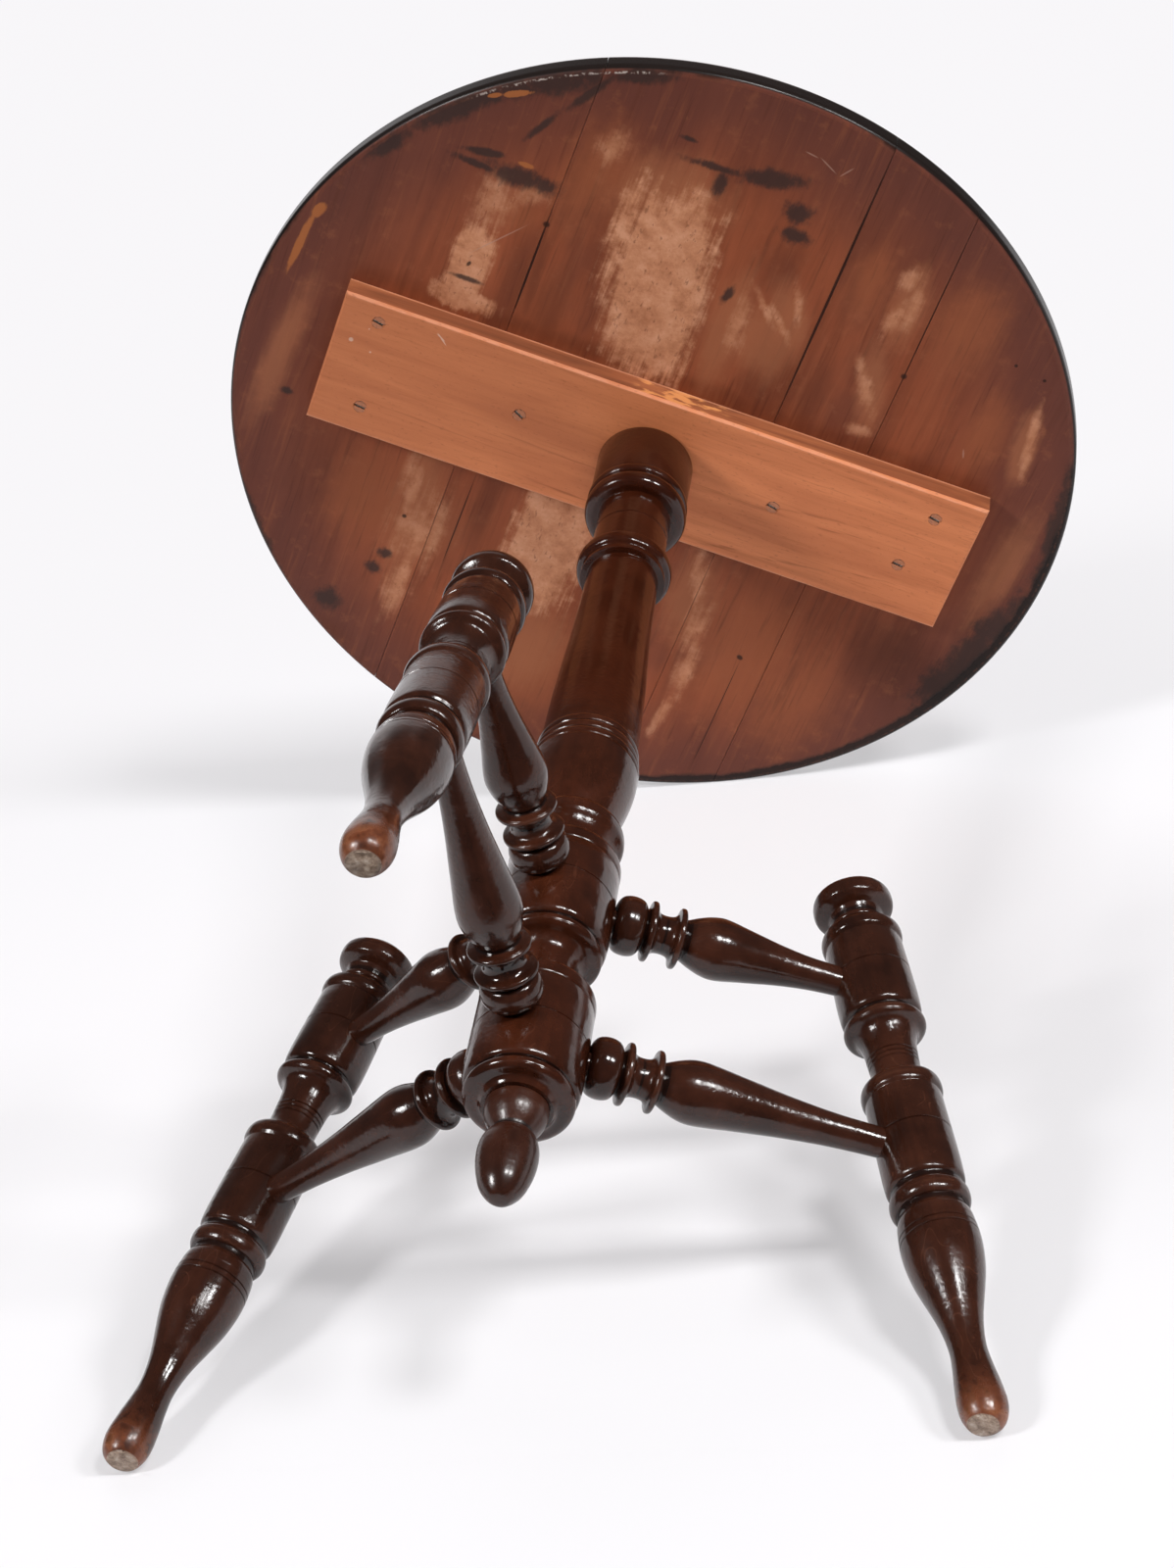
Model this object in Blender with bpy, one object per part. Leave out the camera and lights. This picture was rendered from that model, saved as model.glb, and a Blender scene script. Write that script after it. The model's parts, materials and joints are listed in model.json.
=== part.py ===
"""Round occasional table: a plank top on a batten, a turned column and three turned legs.

Metres, +Z up. The table stands on its three feet at Z = 0, with the column on the Z axis,
the batten along X and leg 1 over +X. Each physical piece is one named object. Hidden
wireframe objects cut the mortises, sockets and screw holes.
"""

import math

import bmesh
import bpy
from mathutils import Matrix, Vector

MM = 0.001

# Gap left between two pieces that touch.
FIT_GAP = 0.3 * MM
# Length by which a cutter runs past the surface that it opens.
CUTTER_OVERRUN = 4 * MM

# Top: boards glued edge to edge, with the grain along Y.
TABLE_HEIGHT = 684 * MM
TOP_DIAMETER = 508 * MM
TOP_THICKNESS = 14 * MM
TOP_LOWER_ROUNDING = 4 * MM
TOP_UPPER_ROUNDING = 2.5 * MM
BOARD_JOINTS = (-105 * MM, 62 * MM, 121 * MM)

# Batten screwed across the boards, a little askew and to one side.
BATTEN_SKEW = math.radians(-0.7)
BATTEN_SHIFT = -2.3 * MM
BATTEN_LENGTH = 400 * MM
BATTEN_WIDTH = 92 * MM
BATTEN_THICKNESS = 15.5 * MM
BATTEN_CHAMFER = 1.8 * MM

# Slotted countersunk screws, at (along, across) the batten from the column's axis.
SCREW_PLACES = (
    (-177 * MM, -33 * MM),
    (-171 * MM, 27 * MM),
    (-81 * MM, -5 * MM),
    (80 * MM, -3 * MM),
    (172 * MM, -33 * MM),
    (164 * MM, 6 * MM),
)
SCREW_HEAD_RADIUS = 4.1 * MM
SCREW_HEAD_HEIGHT = 2.6 * MM
SCREW_SHANK_RADIUS = 2.1 * MM
SCREW_LENGTH = 23 * MM
SCREW_POINT = 5 * MM
SCREW_TIP_RADIUS = 0.4 * MM
SCREW_SLOT_WIDTH = 1.7 * MM
SCREW_SLOT_DEPTH = 1.2 * MM
SCREW_SLOT_ANGLES = (12, 5, 28, 12, 10, 6)

# Column, from the finial's joint up to the tenon in the batten.
DRUM_RADIUS = 29 * MM
DRUM_ROUNDING = 6.6 * MM
LOWER_DRUM_LENGTH = 51.5 * MM
UPPER_DRUM_LENGTH = 51 * MM
LOWER_SOCKET_RISE = 25.7 * MM
UPPER_SOCKET_RISE = 27.5 * MM
DRUM_FOOT_RADIUS = 17.5 * MM
DRUM_FOOT_LENGTH = 3.2 * MM
BEAD_ROOT_RADIUS = 25 * MM
FOOT_BEAD_RADIUS = 27.2 * MM
FOOT_BEAD_LENGTH = 6.4 * MM
CROWN_ROOT_RADIUS = 27.8 * MM
CROWN_BEAD_RADIUS = 29.1 * MM
CROWN_BEAD_LENGTH = 9.5 * MM
WAIST_RADIUS = 16 * MM
WAIST_LENGTH = 15 * MM
WAIST_COVE = 5 * MM
WAIST_FLARE = 10 * MM
FLANGE_ROOT_RADIUS = 23 * MM
FLANGE_RADIUS = 27.2 * MM
FLANGE_LENGTH = 22 * MM
FLANGE_LIP_RADIUS = 25.6 * MM
FLANGE_LIP_LENGTH = 4 * MM
VASE_NECK_RADIUS = 20.5 * MM
VASE_RADIUS = 29.2 * MM
VASE_LENGTH = 50 * MM
REED_LENGTH = 6.4 * MM
REED_RADII = (28.9 * MM, 28.2 * MM, 27.5 * MM)
REED_ROOT_DEPTH = 1.2 * MM
SHAFT_FOOT_RADIUS = 26.4 * MM
SHAFT_HEAD_RADIUS = 20.4 * MM
SHAFT_RING_RADIUS = 27.3 * MM
SHAFT_RING_LENGTH = 11 * MM
SHAFT_RING_STEP_RADIUS = 24.3 * MM
SHAFT_RING_STEP_LENGTH = 4 * MM
COLUMN_NECK_RADIUS = 21.3 * MM
COLUMN_NECK_LENGTH = 46 * MM
TORUS_RADIUS = 29.9 * MM
TORUS_LENGTH = 12 * MM
TORUS_ROOT_RADIUS = 25 * MM
COLLAR_BEAD_RADIUS = 29.6 * MM
COLLAR_BEAD_LENGTH = 6.5 * MM
COLLAR_RADIUS = 28.5 * MM
COLLAR_LENGTH = 38.5 * MM
TENON_RADIUS = 14 * MM

# Wedge that spreads the column's tenon.
WEDGE_THICKNESS = 3 * MM
WEDGE_EDGE = 1 * MM
WEDGE_DEPTH = 11 * MM
WEDGE_WIDTH_SHARE = 0.85

# Acorn drop under the column.
FINIAL_CLEARANCE = 41 * MM
FINIAL_TIP_RADIUS = 5.2 * MM
EGG_RADIUS = 14.8 * MM
EGG_LOWER_LENGTH = 29 * MM
EGG_UPPER_LENGTH = 13 * MM
FINIAL_NECK_RADIUS = 9.2 * MM
FINIAL_NECK_LENGTH = 2 * MM
FINIAL_CUP_RADIUS = 15.6 * MM
FINIAL_CUP_LENGTH = 14 * MM
FINIAL_RIM_LENGTH = 3 * MM
SPIGOT_RADIUS = 7.5 * MM
SPIGOT_LENGTH = 20 * MM

# Legs 1 to 3: how far each stands from the column's axis, its splay and its sideways lean.
FOOT_RADII = (245 * MM, 245 * MM, 239 * MM)
LEG_SPLAYS = (math.radians(16.5), math.radians(16.5), math.radians(15.4))
LEG_LEAN = math.radians(1.8)

# Turning of every leg, from the foot up.
KNOB_POLE_RADIUS = 0.2 * MM
KNOB_RADIUS = 11.9 * MM
KNOB_HEIGHT = 12.4 * MM
KNOB_HALF_LENGTH = 15.5 * MM
ANKLE_RADIUS = 9 * MM
ANKLE_LENGTH = 32 * MM
LEG_VASE_RADIUS = 19.9 * MM
LEG_VASE_LENGTH = 58 * MM
LEG_SHOULDER_LENGTH = 19.5 * MM
LEG_COLLAR_RADIUS = 17.2 * MM
LEG_COLLAR_LENGTH = 3 * MM
LEG_RING_RADIUS = 20 * MM
LEG_RING_LENGTH = 10.5 * MM
LEG_RING_ROOT_RADIUS = 18.2 * MM
LEG_QUIRK_LENGTH = 2.2 * MM
LEG_DRUM_ROUNDING = 6 * MM
LOWER_LEG_DRUM_FOOT_RADIUS = 20.1 * MM
LOWER_LEG_DRUM_RADIUS = 19.6 * MM
LOWER_LEG_DRUM_LENGTH = 50 * MM
LOWER_LEG_SOCKET_RISE = 19 * MM
LEG_CROWN_ROOT_RADIUS = 19.1 * MM
LOWER_CROWN_RADIUS = 20.5 * MM
LEG_CROWN_LENGTH = 9.5 * MM
LEG_NECK_COVE = 4.5 * MM
LEG_NECK_RADIUS = 13.3 * MM
LEG_NECK_LENGTH = 15.5 * MM
LEG_NECK_FLARE = 15.5 * MM
LEG_FLANGE_ROOT_RADIUS = 19.8 * MM
LEG_FLANGE_RADIUS = 21 * MM
LEG_FLANGE_LENGTH = 5.5 * MM
UPPER_LEG_DRUM_FOOT_RADIUS = 20.9 * MM
UPPER_LEG_DRUM_RADIUS = 20.1 * MM
UPPER_LEG_DRUM_LENGTH = 44.5 * MM
UPPER_LEG_SOCKET_RISE = 16.2 * MM
UPPER_CROWN_RADIUS = 20.9 * MM
CAP_NECK_COVE = 3 * MM
CAP_NECK_RADIUS = 12.8 * MM
CAP_NECK_BEAD_RADIUS = 14.8 * MM
CAP_NECK_BEAD_LENGTH = 4.5 * MM
CAP_FLARE_LENGTH = 7 * MM
CAP_EDGE_ROOT_RADIUS = 18.5 * MM
CAP_RADIUS = 21.1 * MM
CAP_EDGE_LENGTH = 11 * MM
CAP_DOME_HEIGHT = 4 * MM
CAP_POLE_RADIUS = 0.3 * MM

# Stretchers: turning from the column out to the leg, and their sockets.
STRETCHER_TENON_RADIUS = 5.8 * MM
COLUMN_SOCKET_DEPTH = 15 * MM
LEG_SOCKET_DEPTH = 11 * MM
STRETCHER_NECK_LENGTH = 0.8 * MM
BALL_ROOT_RADIUS = 10.8 * MM
BALL_RADIUS = 15.6 * MM
BALL_LENGTH = 15.6 * MM
STRETCHER_QUIRK_LENGTH = 0.8 * MM
STRETCHER_RING_RADIUS = 15.6 * MM
STRETCHER_RING_LENGTH = 4.6 * MM
STRETCHER_RING_ROOT_RADIUS = 12 * MM
STRETCHER_COVE_RADIUS = 10 * MM
STRETCHER_COVE_LENGTH = 10.4 * MM
BALUSTER_ROOT_RADIUS = 10.6 * MM
BALUSTER_RADIUS = 16.1 * MM
BALUSTER_SWELL_LENGTH = 18.5 * MM
BALUSTER_END_RADIUS = 7.7 * MM

# Facets round each turning.
TOP_SEGMENTS = 64
COLUMN_SEGMENTS = 18
LEG_SEGMENTS = 14
STRETCHER_SEGMENTS = 12
SCREW_SEGMENTS = 8

# Heights that follow from the sizes above.
TOP_UNDERSIDE = TABLE_HEIGHT - TOP_THICKNESS
BATTEN_TOP = TOP_UNDERSIDE - FIT_GAP
BATTEN_UNDERSIDE = BATTEN_TOP - BATTEN_THICKNESS
COLLAR_TOP = BATTEN_UNDERSIDE - FIT_GAP
BOARD_EDGES = (-TOP_DIAMETER, *BOARD_JOINTS, TOP_DIAMETER)

# Share of a ring's length that each of its sloped sides takes.
RING_SIDE_SHARE = 0.27
# Powers that make a baluster's taper fall early and an egg's end blunt.
TAPER_POWER = 0.7
EGG_END_POWER = 0.65


class Lathe:
    """Collects a turned outline as (radius, height) points, from the bottom up."""

    def __init__(self, radius, height=0.0):
        self.points = [(radius, height)]

    @property
    def radius(self):
        return self.points[-1][0]

    @property
    def height(self):
        return self.points[-1][1]

    def step(self, radius):
        """A flat shoulder, square to the axis."""
        self.points.append((radius, self.height))

    def line(self, length, radius=None):
        """A straight stretch, parallel to the axis or tapering to a new radius."""
        end = self.radius if radius is None else radius
        self.points.append((end, self.height + length))

    def curve(self, length, radius, shape, steps=4):
        """A stretch whose radius changes as shape, a function from 0 to 1, says."""
        start_radius = self.radius
        start_height = self.height
        for index in range(1, steps + 1):
            share = index / steps
            grown = start_radius + (radius - start_radius) * shape(share)
            self.points.append((grown, start_height + length * share))

    def bead(self, length, radius, steps=4):
        """A rounded ring that swells to a radius and comes back to where it began."""
        root = self.radius
        start_height = self.height
        for index in range(1, steps + 1):
            angle = math.pi * index / steps
            swollen = root + (radius - root) * math.sin(angle)
            self.points.append((swollen, start_height + length * (1 - math.cos(angle)) / 2))

    def ring(self, length, radius):
        """A narrow ring with sloped sides and a short face."""
        root = self.radius
        start_height = self.height
        self.points.append((radius, start_height + length * RING_SIDE_SHARE))
        self.points.append((radius, start_height + length * (1 - RING_SIDE_SHARE)))
        self.points.append((root, start_height + length))

    def arc_to_square(self, length, radius, steps=2):
        """A quarter arc that leaves along the axis and arrives square to it."""
        start_radius = self.radius
        start_height = self.height
        for index in range(1, steps + 1):
            angle = math.pi / 2 * index / steps
            turned_radius = radius + (start_radius - radius) * math.cos(angle)
            self.points.append((turned_radius, start_height + length * math.sin(angle)))

    def arc_from_square(self, length, radius, steps=2):
        """A quarter arc that leaves square to the axis and arrives along it."""
        start_radius = self.radius
        start_height = self.height
        for index in range(1, steps + 1):
            angle = math.pi / 2 * index / steps
            turned_radius = start_radius + (radius - start_radius) * math.sin(angle)
            self.points.append((turned_radius, start_height + length * (1 - math.cos(angle))))


def smooth_step(share):
    return share * share * (3 - 2 * share)


def quick_fall(share):
    """Falls early and then runs out slowly, as a baluster's taper does."""
    return smooth_step(share**TAPER_POWER)


def full_shoulder(share):
    return math.sin(math.pi / 2 * share)


def egg_end(share):
    """Blunter at its start than a full shoulder."""
    return full_shoulder(share) ** EGG_END_POWER


def material(name, colour, roughness, metallic=0.0):
    made = bpy.data.materials.new(name)
    made.use_nodes = True
    shader = made.node_tree.nodes["Principled BSDF"]
    shader.inputs["Base Color"].default_value = (*colour, 1.0)
    shader.inputs["Roughness"].default_value = roughness
    shader.inputs["Metallic"].default_value = metallic
    made.diffuse_color = (*colour, 1.0)
    return made


def add_object(name, mesh_data, finish=None, parent=None):
    mesh = bpy.data.meshes.new(name)
    mesh_data.to_mesh(mesh)
    mesh_data.free()
    made = bpy.data.objects.new(name, mesh)
    bpy.context.scene.collection.objects.link(made)
    made.parent = parent
    if finish:
        mesh.materials.append(finish)
    else:
        made.hide_render = True
        made.display_type = "WIRE"
    return made


def turned_mesh(outline, segments):
    """Spins an outline about Z into a closed solid; its ends are joined to the axis."""
    first, last = outline[0], outline[-1]
    path = [(0.0, first[1])] + outline + [(0.0, last[1])]
    solid = bmesh.new()
    rail = []
    for radius, height in path:
        if rail and (Vector((radius, 0, height)) - rail[-1].co).length < 1e-7:
            continue
        rail.append(solid.verts.new((radius, 0, height)))
    edges = [solid.edges.new(pair) for pair in zip(rail, rail[1:])]
    bmesh.ops.spin(
        solid,
        geom=rail + edges,
        axis=(0, 0, 1),
        cent=(0, 0, 0),
        angle=2 * math.pi,
        steps=segments,
        use_merge=True,
    )
    bmesh.ops.remove_doubles(solid, verts=solid.verts, dist=1e-6)
    bmesh.ops.recalc_face_normals(solid, faces=solid.faces)
    return solid


def cut_away(solid, point, outward):
    """Cuts a solid with a plane, drops what lies outward of it and closes the face."""
    everything = solid.verts[:] + solid.edges[:] + solid.faces[:]
    cut = bmesh.ops.bisect_plane(
        solid, geom=everything, plane_co=point, plane_no=outward, clear_outer=True
    )
    edges = [item for item in cut["geom_cut"] if isinstance(item, bmesh.types.BMEdge)]
    bmesh.ops.holes_fill(solid, edges=edges)
    bmesh.ops.recalc_face_normals(solid, faces=solid.faces)


def join_meshes(first, second):
    """Adds the second solid's faces to the first and frees the second."""
    copies = {vert: first.verts.new(vert.co) for vert in second.verts}
    for face in second.faces:
        first.faces.new([copies[vert] for vert in face.verts])
    second.free()


def subtract(target, cutter):
    modifier = target.modifiers.new("cut " + cutter.name, "BOOLEAN")
    modifier.operation = "DIFFERENCE"
    modifier.solver = "EXACT"
    modifier.object = cutter


def pose(target, origin, direction):
    """Places an object with its local Z along a direction."""
    target.location = origin
    target.rotation_mode = "QUATERNION"
    target.rotation_quaternion = Vector((0, 0, 1)).rotation_difference(direction)


def top_outline():
    cut = Lathe(TOP_DIAMETER / 2 - TOP_LOWER_ROUNDING)
    cut.arc_from_square(TOP_LOWER_ROUNDING, TOP_DIAMETER / 2, steps=3)
    cut.line(TOP_THICKNESS - TOP_LOWER_ROUNDING - TOP_UPPER_ROUNDING)
    cut.arc_to_square(TOP_UPPER_ROUNDING, TOP_DIAMETER / 2 - TOP_UPPER_ROUNDING)
    return cut.points


def make_boards(finish):
    """The disc, sawn along each joint into boards."""
    boards = []
    for index, (left, right) in enumerate(zip(BOARD_EDGES, BOARD_EDGES[1:]), start=1):
        solid = turned_mesh(top_outline(), TOP_SEGMENTS)
        cut_away(solid, (left + FIT_GAP / 2, 0, 0), (-1, 0, 0))
        cut_away(solid, (right - FIT_GAP / 2, 0, 0), (1, 0, 0))
        board = add_object(f"top_board_{index}", solid, finish)
        board.location.z = TOP_UNDERSIDE
        boards.append(board)
    return boards


def make_batten(finish):
    solid = bmesh.new()
    size = Matrix.Diagonal((BATTEN_LENGTH, BATTEN_WIDTH, BATTEN_THICKNESS, 1))
    lift = Matrix.Translation((0, 0, BATTEN_THICKNESS / 2))
    bmesh.ops.create_cube(solid, size=1.0, matrix=lift @ size)
    lower = [edge for edge in solid.edges if all(vert.co.z < MM for vert in edge.verts)]
    bmesh.ops.bevel(
        solid, geom=lower, offset=BATTEN_CHAMFER, offset_type="WIDTH", segments=1, affect="EDGES"
    )
    batten = add_object("batten", solid, finish)
    batten.location = (0, BATTEN_SHIFT, BATTEN_UNDERSIDE)
    batten.rotation_euler.z = BATTEN_SKEW
    return batten


def screw_outline(gap=0.0):
    """From the head's face up to the point; gap widens it into the hole's shape."""
    cut = Lathe(SCREW_HEAD_RADIUS + gap)
    cut.line(SCREW_HEAD_HEIGHT + gap, SCREW_SHANK_RADIUS + gap)
    cut.line(SCREW_LENGTH - SCREW_HEAD_HEIGHT - SCREW_POINT)
    cut.line(SCREW_POINT, SCREW_TIP_RADIUS + gap)
    return cut.points


def make_screw(index, place, slot_angle, finish):
    solid = turned_mesh(screw_outline(), SCREW_SEGMENTS)
    screw = add_object(f"batten_screw_{index}", solid, finish)
    screw.location = (*place, BATTEN_UNDERSIDE)
    screw.rotation_euler.z = math.radians(slot_angle)
    bar = bmesh.new()
    size = (SCREW_HEAD_RADIUS * 3, SCREW_SLOT_WIDTH, SCREW_SLOT_DEPTH * 2, 1)
    bmesh.ops.create_cube(bar, size=1.0, matrix=Matrix.Diagonal(size))
    subtract(screw, add_object(f"screw_slot_cutter_{index}", bar, parent=screw))


def make_screw_hole(index, place):
    outline = screw_outline(FIT_GAP)
    mouth = (outline[0][0], -CUTTER_OVERRUN)
    hole = add_object(f"screw_hole_cutter_{index}", turned_mesh([mouth] + outline, SCREW_SEGMENTS))
    hole.location = (*place, BATTEN_UNDERSIDE)
    return hole


def finial_outline():
    cut = Lathe(FINIAL_TIP_RADIUS)
    cut.curve(EGG_LOWER_LENGTH, EGG_RADIUS, egg_end)
    cut.arc_to_square(EGG_UPPER_LENGTH, FINIAL_NECK_RADIUS, steps=3)
    cut.line(FINIAL_NECK_LENGTH)
    cut.curve(FINIAL_CUP_LENGTH, FINIAL_CUP_RADIUS, full_shoulder, steps=3)
    cut.line(FINIAL_RIM_LENGTH)
    shoulder = cut.height
    cut.step(SPIGOT_RADIUS)
    cut.line(SPIGOT_LENGTH)
    return cut.points, shoulder


def drum_foot(cut):
    """The bead under a drum and the drum's rounded end."""
    cut.ring(FOOT_BEAD_LENGTH, FOOT_BEAD_RADIUS)
    cut.arc_from_square(DRUM_ROUNDING, DRUM_RADIUS)


def drum_crown(cut):
    """The bead on top of a drum."""
    cut.step(CROWN_ROOT_RADIUS)
    cut.bead(CROWN_BEAD_LENGTH, CROWN_BEAD_RADIUS)


def column_foot(bottom):
    """From the finial's socket up to the shaft; returns the lathe and both tiers of sockets."""
    socket_end = bottom + SPIGOT_LENGTH + FIT_GAP
    cut = Lathe(SPIGOT_RADIUS + FIT_GAP, socket_end)
    cut.points.append((SPIGOT_RADIUS + FIT_GAP, bottom))
    cut.step(DRUM_FOOT_RADIUS)
    cut.arc_to_square(DRUM_FOOT_LENGTH, BEAD_ROOT_RADIUS)
    drum_foot(cut)
    lower_tier = cut.height + LOWER_SOCKET_RISE
    cut.line(LOWER_DRUM_LENGTH)
    drum_crown(cut)
    cut.arc_from_square(WAIST_COVE, WAIST_RADIUS)
    cut.line(WAIST_LENGTH)
    cut.arc_to_square(WAIST_FLARE, BEAD_ROOT_RADIUS, steps=3)
    drum_foot(cut)
    upper_tier = cut.height + UPPER_SOCKET_RISE
    cut.line(UPPER_DRUM_LENGTH)
    drum_crown(cut)
    cut.step(FLANGE_ROOT_RADIUS)
    cut.bead(FLANGE_LENGTH, FLANGE_RADIUS)
    cut.step(FLANGE_LIP_RADIUS)
    cut.line(FLANGE_LIP_LENGTH)
    cut.step(VASE_NECK_RADIUS)
    cut.curve(VASE_LENGTH, VASE_RADIUS, full_shoulder)
    for radius in REED_RADII:
        cut.step(radius - REED_ROOT_DEPTH)
        cut.ring(REED_LENGTH, radius)
    cut.step(SHAFT_FOOT_RADIUS)
    return cut, lower_tier, upper_tier


def column_head():
    """From the shaft's ring up to the collar's top, with heights from the ring's foot."""
    cut = Lathe(SHAFT_RING_STEP_RADIUS)
    cut.line(SHAFT_RING_STEP_LENGTH)
    cut.bead(SHAFT_RING_LENGTH, SHAFT_RING_RADIUS)
    cut.step(COLUMN_NECK_RADIUS)
    cut.line(COLUMN_NECK_LENGTH)
    cut.step(TORUS_ROOT_RADIUS)
    cut.bead(TORUS_LENGTH, TORUS_RADIUS)
    cut.step(COLLAR_RADIUS - REED_ROOT_DEPTH)
    cut.bead(COLLAR_BEAD_LENGTH, COLLAR_BEAD_RADIUS)
    cut.step(COLLAR_RADIUS)
    cut.line(COLLAR_LENGTH)
    return cut


def column_outline(bottom):
    """The whole column; the plain shaft takes up what the table's height leaves."""
    cut, lower_tier, upper_tier = column_foot(bottom)
    head = column_head()
    shaft_length = COLLAR_TOP - head.height - cut.height
    cut.curve(shaft_length, SHAFT_HEAD_RADIUS, smooth_step, steps=3)
    lift = cut.height
    cut.points += [(radius, height + lift) for radius, height in head.points]
    cut.step(TENON_RADIUS)
    cut.line(BATTEN_TOP - COLLAR_TOP)
    return cut.points, lower_tier, upper_tier


def wedge_mesh(gap=0.0, overrun=0.0):
    """A wedge across the tenon, thick end up at Z = 0; gap and overrun make its cutter."""
    solid = bmesh.new()
    reach = TENON_RADIUS * WEDGE_WIDTH_SHARE + gap + overrun * 3
    low = -WEDGE_DEPTH - gap
    corners = []
    for z, half in ((low, WEDGE_EDGE / 2 + gap), (overrun, WEDGE_THICKNESS / 2 + gap)):
        for x, y in ((-half, -reach), (half, -reach), (half, reach), (-half, reach)):
            corners.append(solid.verts.new((x, y, z)))
    bottom, top = corners[:4], corners[4:]
    solid.faces.new(bottom)
    solid.faces.new(top)
    for index in range(4):
        following = (index + 1) % 4
        solid.faces.new((bottom[index], bottom[following], top[following], top[index]))
    bmesh.ops.recalc_face_normals(solid, faces=solid.faces)
    return solid


def leg_outline():
    """From the foot up; returns the outline and the heights of both sockets."""
    knob_bottom = KNOB_HEIGHT - KNOB_HALF_LENGTH
    cut = Lathe(KNOB_POLE_RADIUS, knob_bottom)
    cut.arc_from_square(KNOB_HALF_LENGTH, KNOB_RADIUS, steps=4)
    cut.curve(ANKLE_LENGTH, ANKLE_RADIUS, smooth_step, steps=3)
    cut.curve(LEG_VASE_LENGTH, LEG_VASE_RADIUS, smooth_step)
    cut.arc_to_square(LEG_SHOULDER_LENGTH, LEG_COLLAR_RADIUS, steps=3)
    cut.line(LEG_COLLAR_LENGTH)
    cut.step(LEG_RING_ROOT_RADIUS)
    cut.ring(LEG_RING_LENGTH, LEG_RING_RADIUS)
    cut.line(LEG_QUIRK_LENGTH)
    cut.arc_from_square(LEG_DRUM_ROUNDING, LOWER_LEG_DRUM_FOOT_RADIUS)
    lower_socket = cut.height + LOWER_LEG_SOCKET_RISE
    cut.line(LOWER_LEG_DRUM_LENGTH, LOWER_LEG_DRUM_RADIUS)
    cut.step(LEG_CROWN_ROOT_RADIUS)
    cut.ring(LEG_CROWN_LENGTH, LOWER_CROWN_RADIUS)
    cut.arc_from_square(LEG_NECK_COVE, LEG_NECK_RADIUS)
    cut.line(LEG_NECK_LENGTH)
    cut.arc_to_square(LEG_NECK_FLARE, LEG_FLANGE_ROOT_RADIUS, steps=3)
    cut.ring(LEG_FLANGE_LENGTH, LEG_FLANGE_RADIUS)
    cut.step(LEG_RING_ROOT_RADIUS)
    cut.line(LEG_QUIRK_LENGTH)
    cut.arc_from_square(LEG_DRUM_ROUNDING, UPPER_LEG_DRUM_FOOT_RADIUS)
    upper_socket = cut.height + UPPER_LEG_SOCKET_RISE
    cut.line(UPPER_LEG_DRUM_LENGTH, UPPER_LEG_DRUM_RADIUS)
    cut.step(LEG_CROWN_ROOT_RADIUS)
    cut.ring(LEG_CROWN_LENGTH, UPPER_CROWN_RADIUS)
    cut.arc_from_square(CAP_NECK_COVE, CAP_NECK_RADIUS)
    cut.ring(CAP_NECK_BEAD_LENGTH, CAP_NECK_BEAD_RADIUS)
    cut.arc_to_square(CAP_FLARE_LENGTH, CAP_EDGE_ROOT_RADIUS)
    cut.bead(CAP_EDGE_LENGTH, CAP_RADIUS)
    cut.arc_to_square(CAP_DOME_HEIGHT, CAP_POLE_RADIUS, steps=3)
    return cut.points, lower_socket, upper_socket


def make_leg(index, station, foot_radius, splay, finish):
    """A leg on its station, splayed outward and leaning a little sideways."""
    outline, lower_socket, upper_socket = leg_outline()
    foot = Vector((foot_radius, 0, 0))
    along = Vector((-math.sin(splay), -math.tan(LEG_LEAN), math.cos(splay))).normalized()
    solid = turned_mesh(outline, LEG_SEGMENTS)
    to_local = Vector((0, 0, 1)).rotation_difference(along).inverted()
    cut_away(solid, (0, 0, 0), to_local @ Vector((0, 0, -1)))
    leg = add_object(f"leg_{index}", solid, finish, station)
    pose(leg, foot, along)
    return leg, foot + along * lower_socket, foot + along * upper_socket


def stretcher_outline(length, leg_radius):
    """From the tenon in the column to the slim end in the leg; length joins both axes."""
    cut = Lathe(STRETCHER_TENON_RADIUS, DRUM_RADIUS - COLUMN_SOCKET_DEPTH + FIT_GAP)
    cut.line(COLUMN_SOCKET_DEPTH - FIT_GAP + STRETCHER_NECK_LENGTH)
    cut.step(BALL_ROOT_RADIUS)
    cut.bead(BALL_LENGTH, BALL_RADIUS)
    cut.line(STRETCHER_QUIRK_LENGTH, STRETCHER_RING_ROOT_RADIUS)
    cut.ring(STRETCHER_RING_LENGTH, STRETCHER_RING_RADIUS)
    cut.bead(STRETCHER_COVE_LENGTH, STRETCHER_COVE_RADIUS)
    cut.ring(STRETCHER_RING_LENGTH, STRETCHER_RING_RADIUS)
    cut.line(STRETCHER_QUIRK_LENGTH, BALUSTER_ROOT_RADIUS)
    cut.curve(BALUSTER_SWELL_LENGTH, BALUSTER_RADIUS, full_shoulder, steps=3)
    leg_surface = length - leg_radius
    cut.curve(leg_surface - cut.height, BALUSTER_END_RADIUS, quick_fall)
    cut.line(LEG_SOCKET_DEPTH - FIT_GAP)
    return cut.points


def socket_cutter(length, leg_radius):
    """Two plain cylinders: the socket in the column and the one in the leg."""
    column_end = Lathe(STRETCHER_TENON_RADIUS + FIT_GAP, DRUM_RADIUS - COLUMN_SOCKET_DEPTH)
    column_end.line(COLUMN_SOCKET_DEPTH + CUTTER_OVERRUN)
    leg_surface = length - leg_radius
    leg_end = Lathe(BALUSTER_END_RADIUS + FIT_GAP, leg_surface - CUTTER_OVERRUN)
    leg_end.line(CUTTER_OVERRUN + LEG_SOCKET_DEPTH)
    solid = turned_mesh(column_end.points, STRETCHER_SEGMENTS)
    join_meshes(solid, turned_mesh(leg_end.points, STRETCHER_SEGMENTS))
    return solid


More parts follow.
